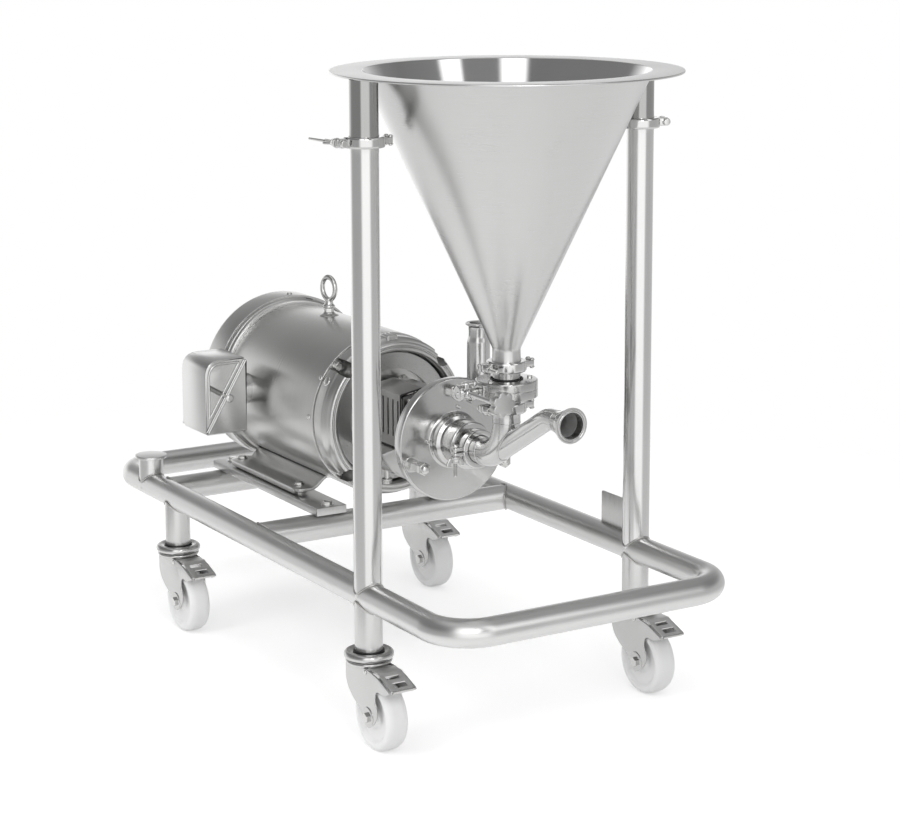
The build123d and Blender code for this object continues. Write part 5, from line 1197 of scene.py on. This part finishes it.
def pipe_clamp(node, centre, lug_dir, pipe_dir, towards, wing_dir, spare=0.0):
    """Half rings, lugs, hinge, bolt and nut about a joint between two ferrules. A hexagon nut
    takes the wing nut's place where wing_dir is None; spare is how far the bolt's bare end
    runs on past its thread."""
    centre, lug, pipe = Vector(centre), Vector(lug_dir).normalized(), Vector(pipe_dir).normalized()
    over = pipe.cross(lug)
    ring = [(-9.5, 26.5, 0.6), (-9.5, 35.4, 1.6), (-6.5, 36.6, 1.5), (6.5, 36.6, 1.5),
            (9.5, 35.4, 1.6), (9.5, 26.5, 0.6), (7.8, 26.5), (4.4, 32.6), (-4.4, 32.6),
            (-7.8, 26.5)]
    for half, start in (("front", 2.6), ("back", 182.6)):
        turned(f"{node}_{half}_half", ring, centre, pipe, clamp_steel, node, around=72,
               start=start, arc=174.8, zero=tuple(lug))
    lug_shape = oblong(-7.6, 7.6, 31, 54, 0, 4)
    knuckle = [(-31, 2), (-52, 2.2, 2), (-55, 6.5, 4), (-52, 10.8, 3),
               (-42, 11, 2), (-36, 13.5, 2), (-30, 16)]
    for side, half in ((1, "front"), (-1, "back")):
        levels = (1.5, 8.5) if side > 0 else (-8.5, -1.5)
        pressed(f"{node}_{half}_lug", lug_shape, *levels, centre, pipe, lug, clamp_steel, node,
                edge=1.4)
        shape = [(a, side * b, *rounding) for a, b, *rounding in knuckle]
        pressed(f"{node}_{half}_knuckle", shape, -5.6, 5.6, centre, lug, over, clamp_steel, node,
                edge=1.2)
        pin = [(-9.6, 0), (-9.6, 2.4, 1.2), (-8.4, 3.8, 0.8), (-7.6, 3.8), (-7.6, 2.2), (7.6, 2.2),
               (7.6, 3.8), (8.4, 3.8, 0.8), (9.6, 2.4, 1.2), (9.6, 0)]
        turned(f"{node}_{half}_pin", pin, centre - lug * hinge_reach + over * (side * 6.5), pipe,
               bolt_steel, node, around=32)
    plate = oblong(-54.6, -45.4, -11, 11, 4, 4)
    for low, name in ((-7.5, "low"), (5.7, "high")):
        pressed(f"{node}_{name}_hinge_plate", plate, low, low + 1.8, centre, lug, over,
                clamp_steel, node, edge=0.5)
    seat = centre + lug * bolt_reach
    along = over * towards
    head = [(-14.4, 0), (-14.4, 6, 1.4), (-12.6, 7, 0.8), (-8.6, 7, 0.6), (-8.6, 4),
            (22, 4)]
    for turn in range(16):
        head += [(22.2 + turn * 1.5, 4), (22.95 + turn * 1.5, 3.4)]
    head += [(46.6, 4), (47.4, 2.6), (47.4 + spare, 2), (47.4 + spare, 0)]
    turned(f"{node}_bolt", head, seat, along, bolt_steel, "clamp_wing_nuts", around=40, sharp=30)
    hub = [(8.8, 4.1), (8.8, 9, 1), (14, 8.6, 2), (18, 7.2, 2), (21.8, 7, 1.2),
           (21.8, 4.1)]
    turned(f"{node}_nut", hub, seat, along, clamp_steel, "clamp_wing_nuts", around=48)
    if wing_dir is None:
        hex_head(f"{node}_hex_nut", seat + along * 16, along, 7.6, 7, "clamp_wing_nuts")
    else:
        wing = [(10.4, 5), (22, 8.6, 4), (28.6, 12.6, 3.4), (28.4, 18.8, 3.4),
                (21, 19, 4), (10.6, 11.6, 3)]
        out = Vector(wing_dir).normalized()
        for name, way in (("first", out), ("second", -out)):
            pressed(f"{node}_{name}_wing", wing, -2.2, 2.2, seat, along, way, clamp_steel,
                    "clamp_wing_nuts", edge=1.5)
    washer = [(-0.8, pipe_bore + 0.2), (-0.8, 32.2, 0.3), (0.8, 32.2, 0.3), (0.8, pipe_bore + 0.2)]
    turned(f"{node}_gasket", washer, centre, pipe, black_rubber, "gaskets")


pipe_clamp("upper_valve_clamp", (0, hopper_y, 652.5), leftward, upright, 1, None)
pipe_clamp("lower_valve_clamp", (0, hopper_y, 576.9), leftward, upright, 1, None)
pipe_clamp("inlet_clamp", (0, hopper_y + 99.2, shaft_height), leftward, forward, 1, leftward)
pipe_clamp("left_post_clamp", (-rail_x, hopper_y, post_joint_height),
           (-1, -0.08, 0), upright, -1, (-1, -0.08, 0), 50)
pipe_clamp("right_post_clamp", (rail_x, hopper_y, post_joint_height),
           (1, -0.2, 0), upright, 1, (1, -0.2, 0))

# Castors: a polished ring head in each leg, a fork of pressed bright sheet on a ball race, a
# moulded white nylon wheel on a hex bolt, and a brake pedal of folded sheet.
castor_steel = steel("bright_castor_steel", (0.53, 0.53, 0.525), 0.24, 1.0, 1.0, along_seam=False,
                     bump=0.05, smudges=0.05)
pedal_steel = steel("folded_pedal_steel", (0.68, 0.68, 0.675), 0.38, 1.0, 1.0, along_seam=False,
                    bump=0.05, smudges=0.05)
white_nylon = moulded("moulded_white_nylon", 0.97, 0.40, 0.008)
fork_side = [
    (35.5, 149, 2), (36, 114, 6), (27.7, 97, 8), (8.3, 81.7, 8), (-15, 72, 5),
    (-27, 52, 8), (-44, 42.5, 16), (-62, 52, 8), (-75.5, 69.7, 5), (-74.3, 85.9, 5),
    (-67.8, 97.8, 5), (-69.3, 112.1, 5), (-77.5, 118.7, 5), (-101.7, 117.7, 8), (-121, 127, 3),
    (-117, 131, 2), (-78, 144.5, 8), (-45, 149, 4),
]
wheel_radius = 62.5
half_wheel = [(-22, 7), (-22, 17, 1.5), (-15.5, 20.5, 3), (-14, 24, 3),
              (-14, 44, 4), (-20.5, 48.5, 2.5), (-22, 53.5, 3), (-19.5, 59.5, 5),
              (-12, wheel_radius, 6)]
wheel_outline = half_wheel + [(-a, *rest) for a, *rest in reversed(half_wheel)]
for corner, x, y in (("front_left", -rail_x, hopper_y), ("front_right", rail_x, hopper_y),
                     ("rear_left", -rail_x, rear_leg_y), ("rear_right", rail_x, rear_leg_y)):
    swivel, fork, foot = f"{corner}_swivel", f"{corner}_fork", (x, y, 0)
    ring = [(156.5, 0), (156.5, 41, 2), (160, 45, 4), (166.5, 45.2, 4),
            (170.8, 40.5, 3), (170.4, 34, 2), (168.5, 28, 2), (168.5, 23.6),
            (198, 23.6, 2), (198, 0)]
    turned(f"{corner}_castor_ring", ring, foot, upright, castor_steel, "castor_heads")
    leg_seal = [(a, b, leg_foot + 0.9) for a, b in disc(x, y, 26.4, 60)]
    swept(f"{corner}_leg_seal", leg_seal, 1.3, black_rubber, closed=True, around=10)
    race = [(144, 0), (144, 22, 2), (148, 27, 2), (148, 40, 1.5),
            (151, 42, 2), (153.6, 42, 1.5), (156, 39, 1.5), (156, 0)]
    turned(f"{corner}_race", race, foot, upright, castor_steel, fork, swivel)
    for low, name in ((-28, "left"), (25, "right")):
        pressed(f"{corner}_fork_{name}_sheet", fork_side, low, low + 3, foot, backward, upright,
                castor_steel, fork, swivel, edge=1.0)
    pressed(f"{corner}_fork_crown", oblong(-27, 27, -22, 35, 3, 8), 141, 145, foot, rightward,
            backward, castor_steel, fork, swivel, edge=1.2)
    pressed(f"{corner}_fork_back", oblong(-26.5, 26.5, 112, 144, 3, 1), -35, -32, foot, rightward,
            upright, castor_steel, fork, swivel, edge=1.0)
    axle = (x, y - 44, wheel_radius)
    pedal_pivot = (x, y - 36, 143)
    turned(f"{corner}_axle", rod(-30, 30, 5.9), axle, rightward, bolt_steel, fork, swivel,
           around=40)
    for side, name in sides:
        outwards = (side, 0, 0)
        place = Vector(axle) + Vector((side * 28, 0, 0))
        turned(f"{corner}_{name}_embossed_disc", [(0, 0), (0, 19.5, 1), (1.6, 18, 1.5),
               (1.6, 0)], place, outwards, castor_steel, fork, swivel, around=56)
        hex_head(f"{corner}_{name}_axle_nut", place + Vector((side * 1.6, 0, 0)), outwards, 9.6,
                 5.4, fork, swivel)
        turned(f"{corner}_{name}_pivot_head", [(0, 0), (0, 4.6, 0.6), (2.4, 3.6, 1.2), (2.4, 0)],
               Vector(pedal_pivot) + Vector((side * 28, 0, 0)), outwards, bolt_steel, fork,
               swivel, around=28)
    turned(f"{corner}_wheel_piece", wheel_outline, axle, rightward, white_nylon, f"{corner}_wheel",
           f"{corner}_roller", around=128)
    brake, pedal = f"{corner}_brake", f"{corner}_pedal"
    turned(f"{corner}_pedal_barrel", [(-24, 3.1), (-24, 4.6, 0.6), (24, 4.6, 0.6),
                                      (24, 3.1)], pedal_pivot, rightward, pedal_steel,
           pedal, brake, around=32)
    neck = [(-38, 139, 1), (-41.5, 140, 1), (-50, 147, 1), (-50, 150, 1),
            (-45, 149, 2), (-38, 143, 1)]
    pressed(f"{corner}_pedal_neck", neck, -23, 23, foot, backward, upright, pedal_steel, pedal,
            brake, edge=0.5)
    pressed(f"{corner}_pedal_flat", oblong(-24, 24, -76, -47, 0, 2), 147.5, 150, foot, rightward,
            backward, pedal_steel, pedal, brake, edge=0.6)
    slope = Vector((0, 48, 20.5)).normalized()
    fold = Vector((x, y - 75, 148.75))
    tread = oblong(-24, 24, -50, 0.5, 5, 0)
    slots = [oblong(-11, 15, -41, -28, 2, 2), oblong(-15, 11, -18, -9, 2, 2)]
    pressed(f"{corner}_pedal_tread", tread, -1.25, 1.25, fold, rightward, slope, pedal_steel,
            pedal, brake, holes=slots, edge=0.6)
    tip = fold - slope * 50.5
    swept(f"{corner}_pedal_rolled_edge", [tip - Vector((21.5, 0, 0)), tip + Vector((21.5, 0, 0))],
          2.7, bolt_steel, pedal, brake, around=24)

# Pieces shut inside the motor and the pump keep their measured shape: lamination stack, shaft,
# bearings, fan, impeller and face seal, each with its own finish.
lamination = steel("oiled_lamination_steel", (0.22, 0.21, 0.20), 0.40, 0.5, 200.0,
                   along_seam=False, bump=0.30)
fan_plastic = moulded("grey_fan_plastic", 0.10, 0.42, 0.08)
seal_carbon = moulded("seal_carbon", 0.02, 0.30, 0.15)
inside = {"stator_core": lamination, "rotor_shaft": turned_steel, "motor_bearings": bolt_steel,
          "cooling_fan": fan_plastic, "impeller": elbow_steel, "shaft_seal": seal_carbon}
for node, finish in inside.items():
    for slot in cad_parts[node].material_slots:
        slot.link = "OBJECT"
        slot.material = finish
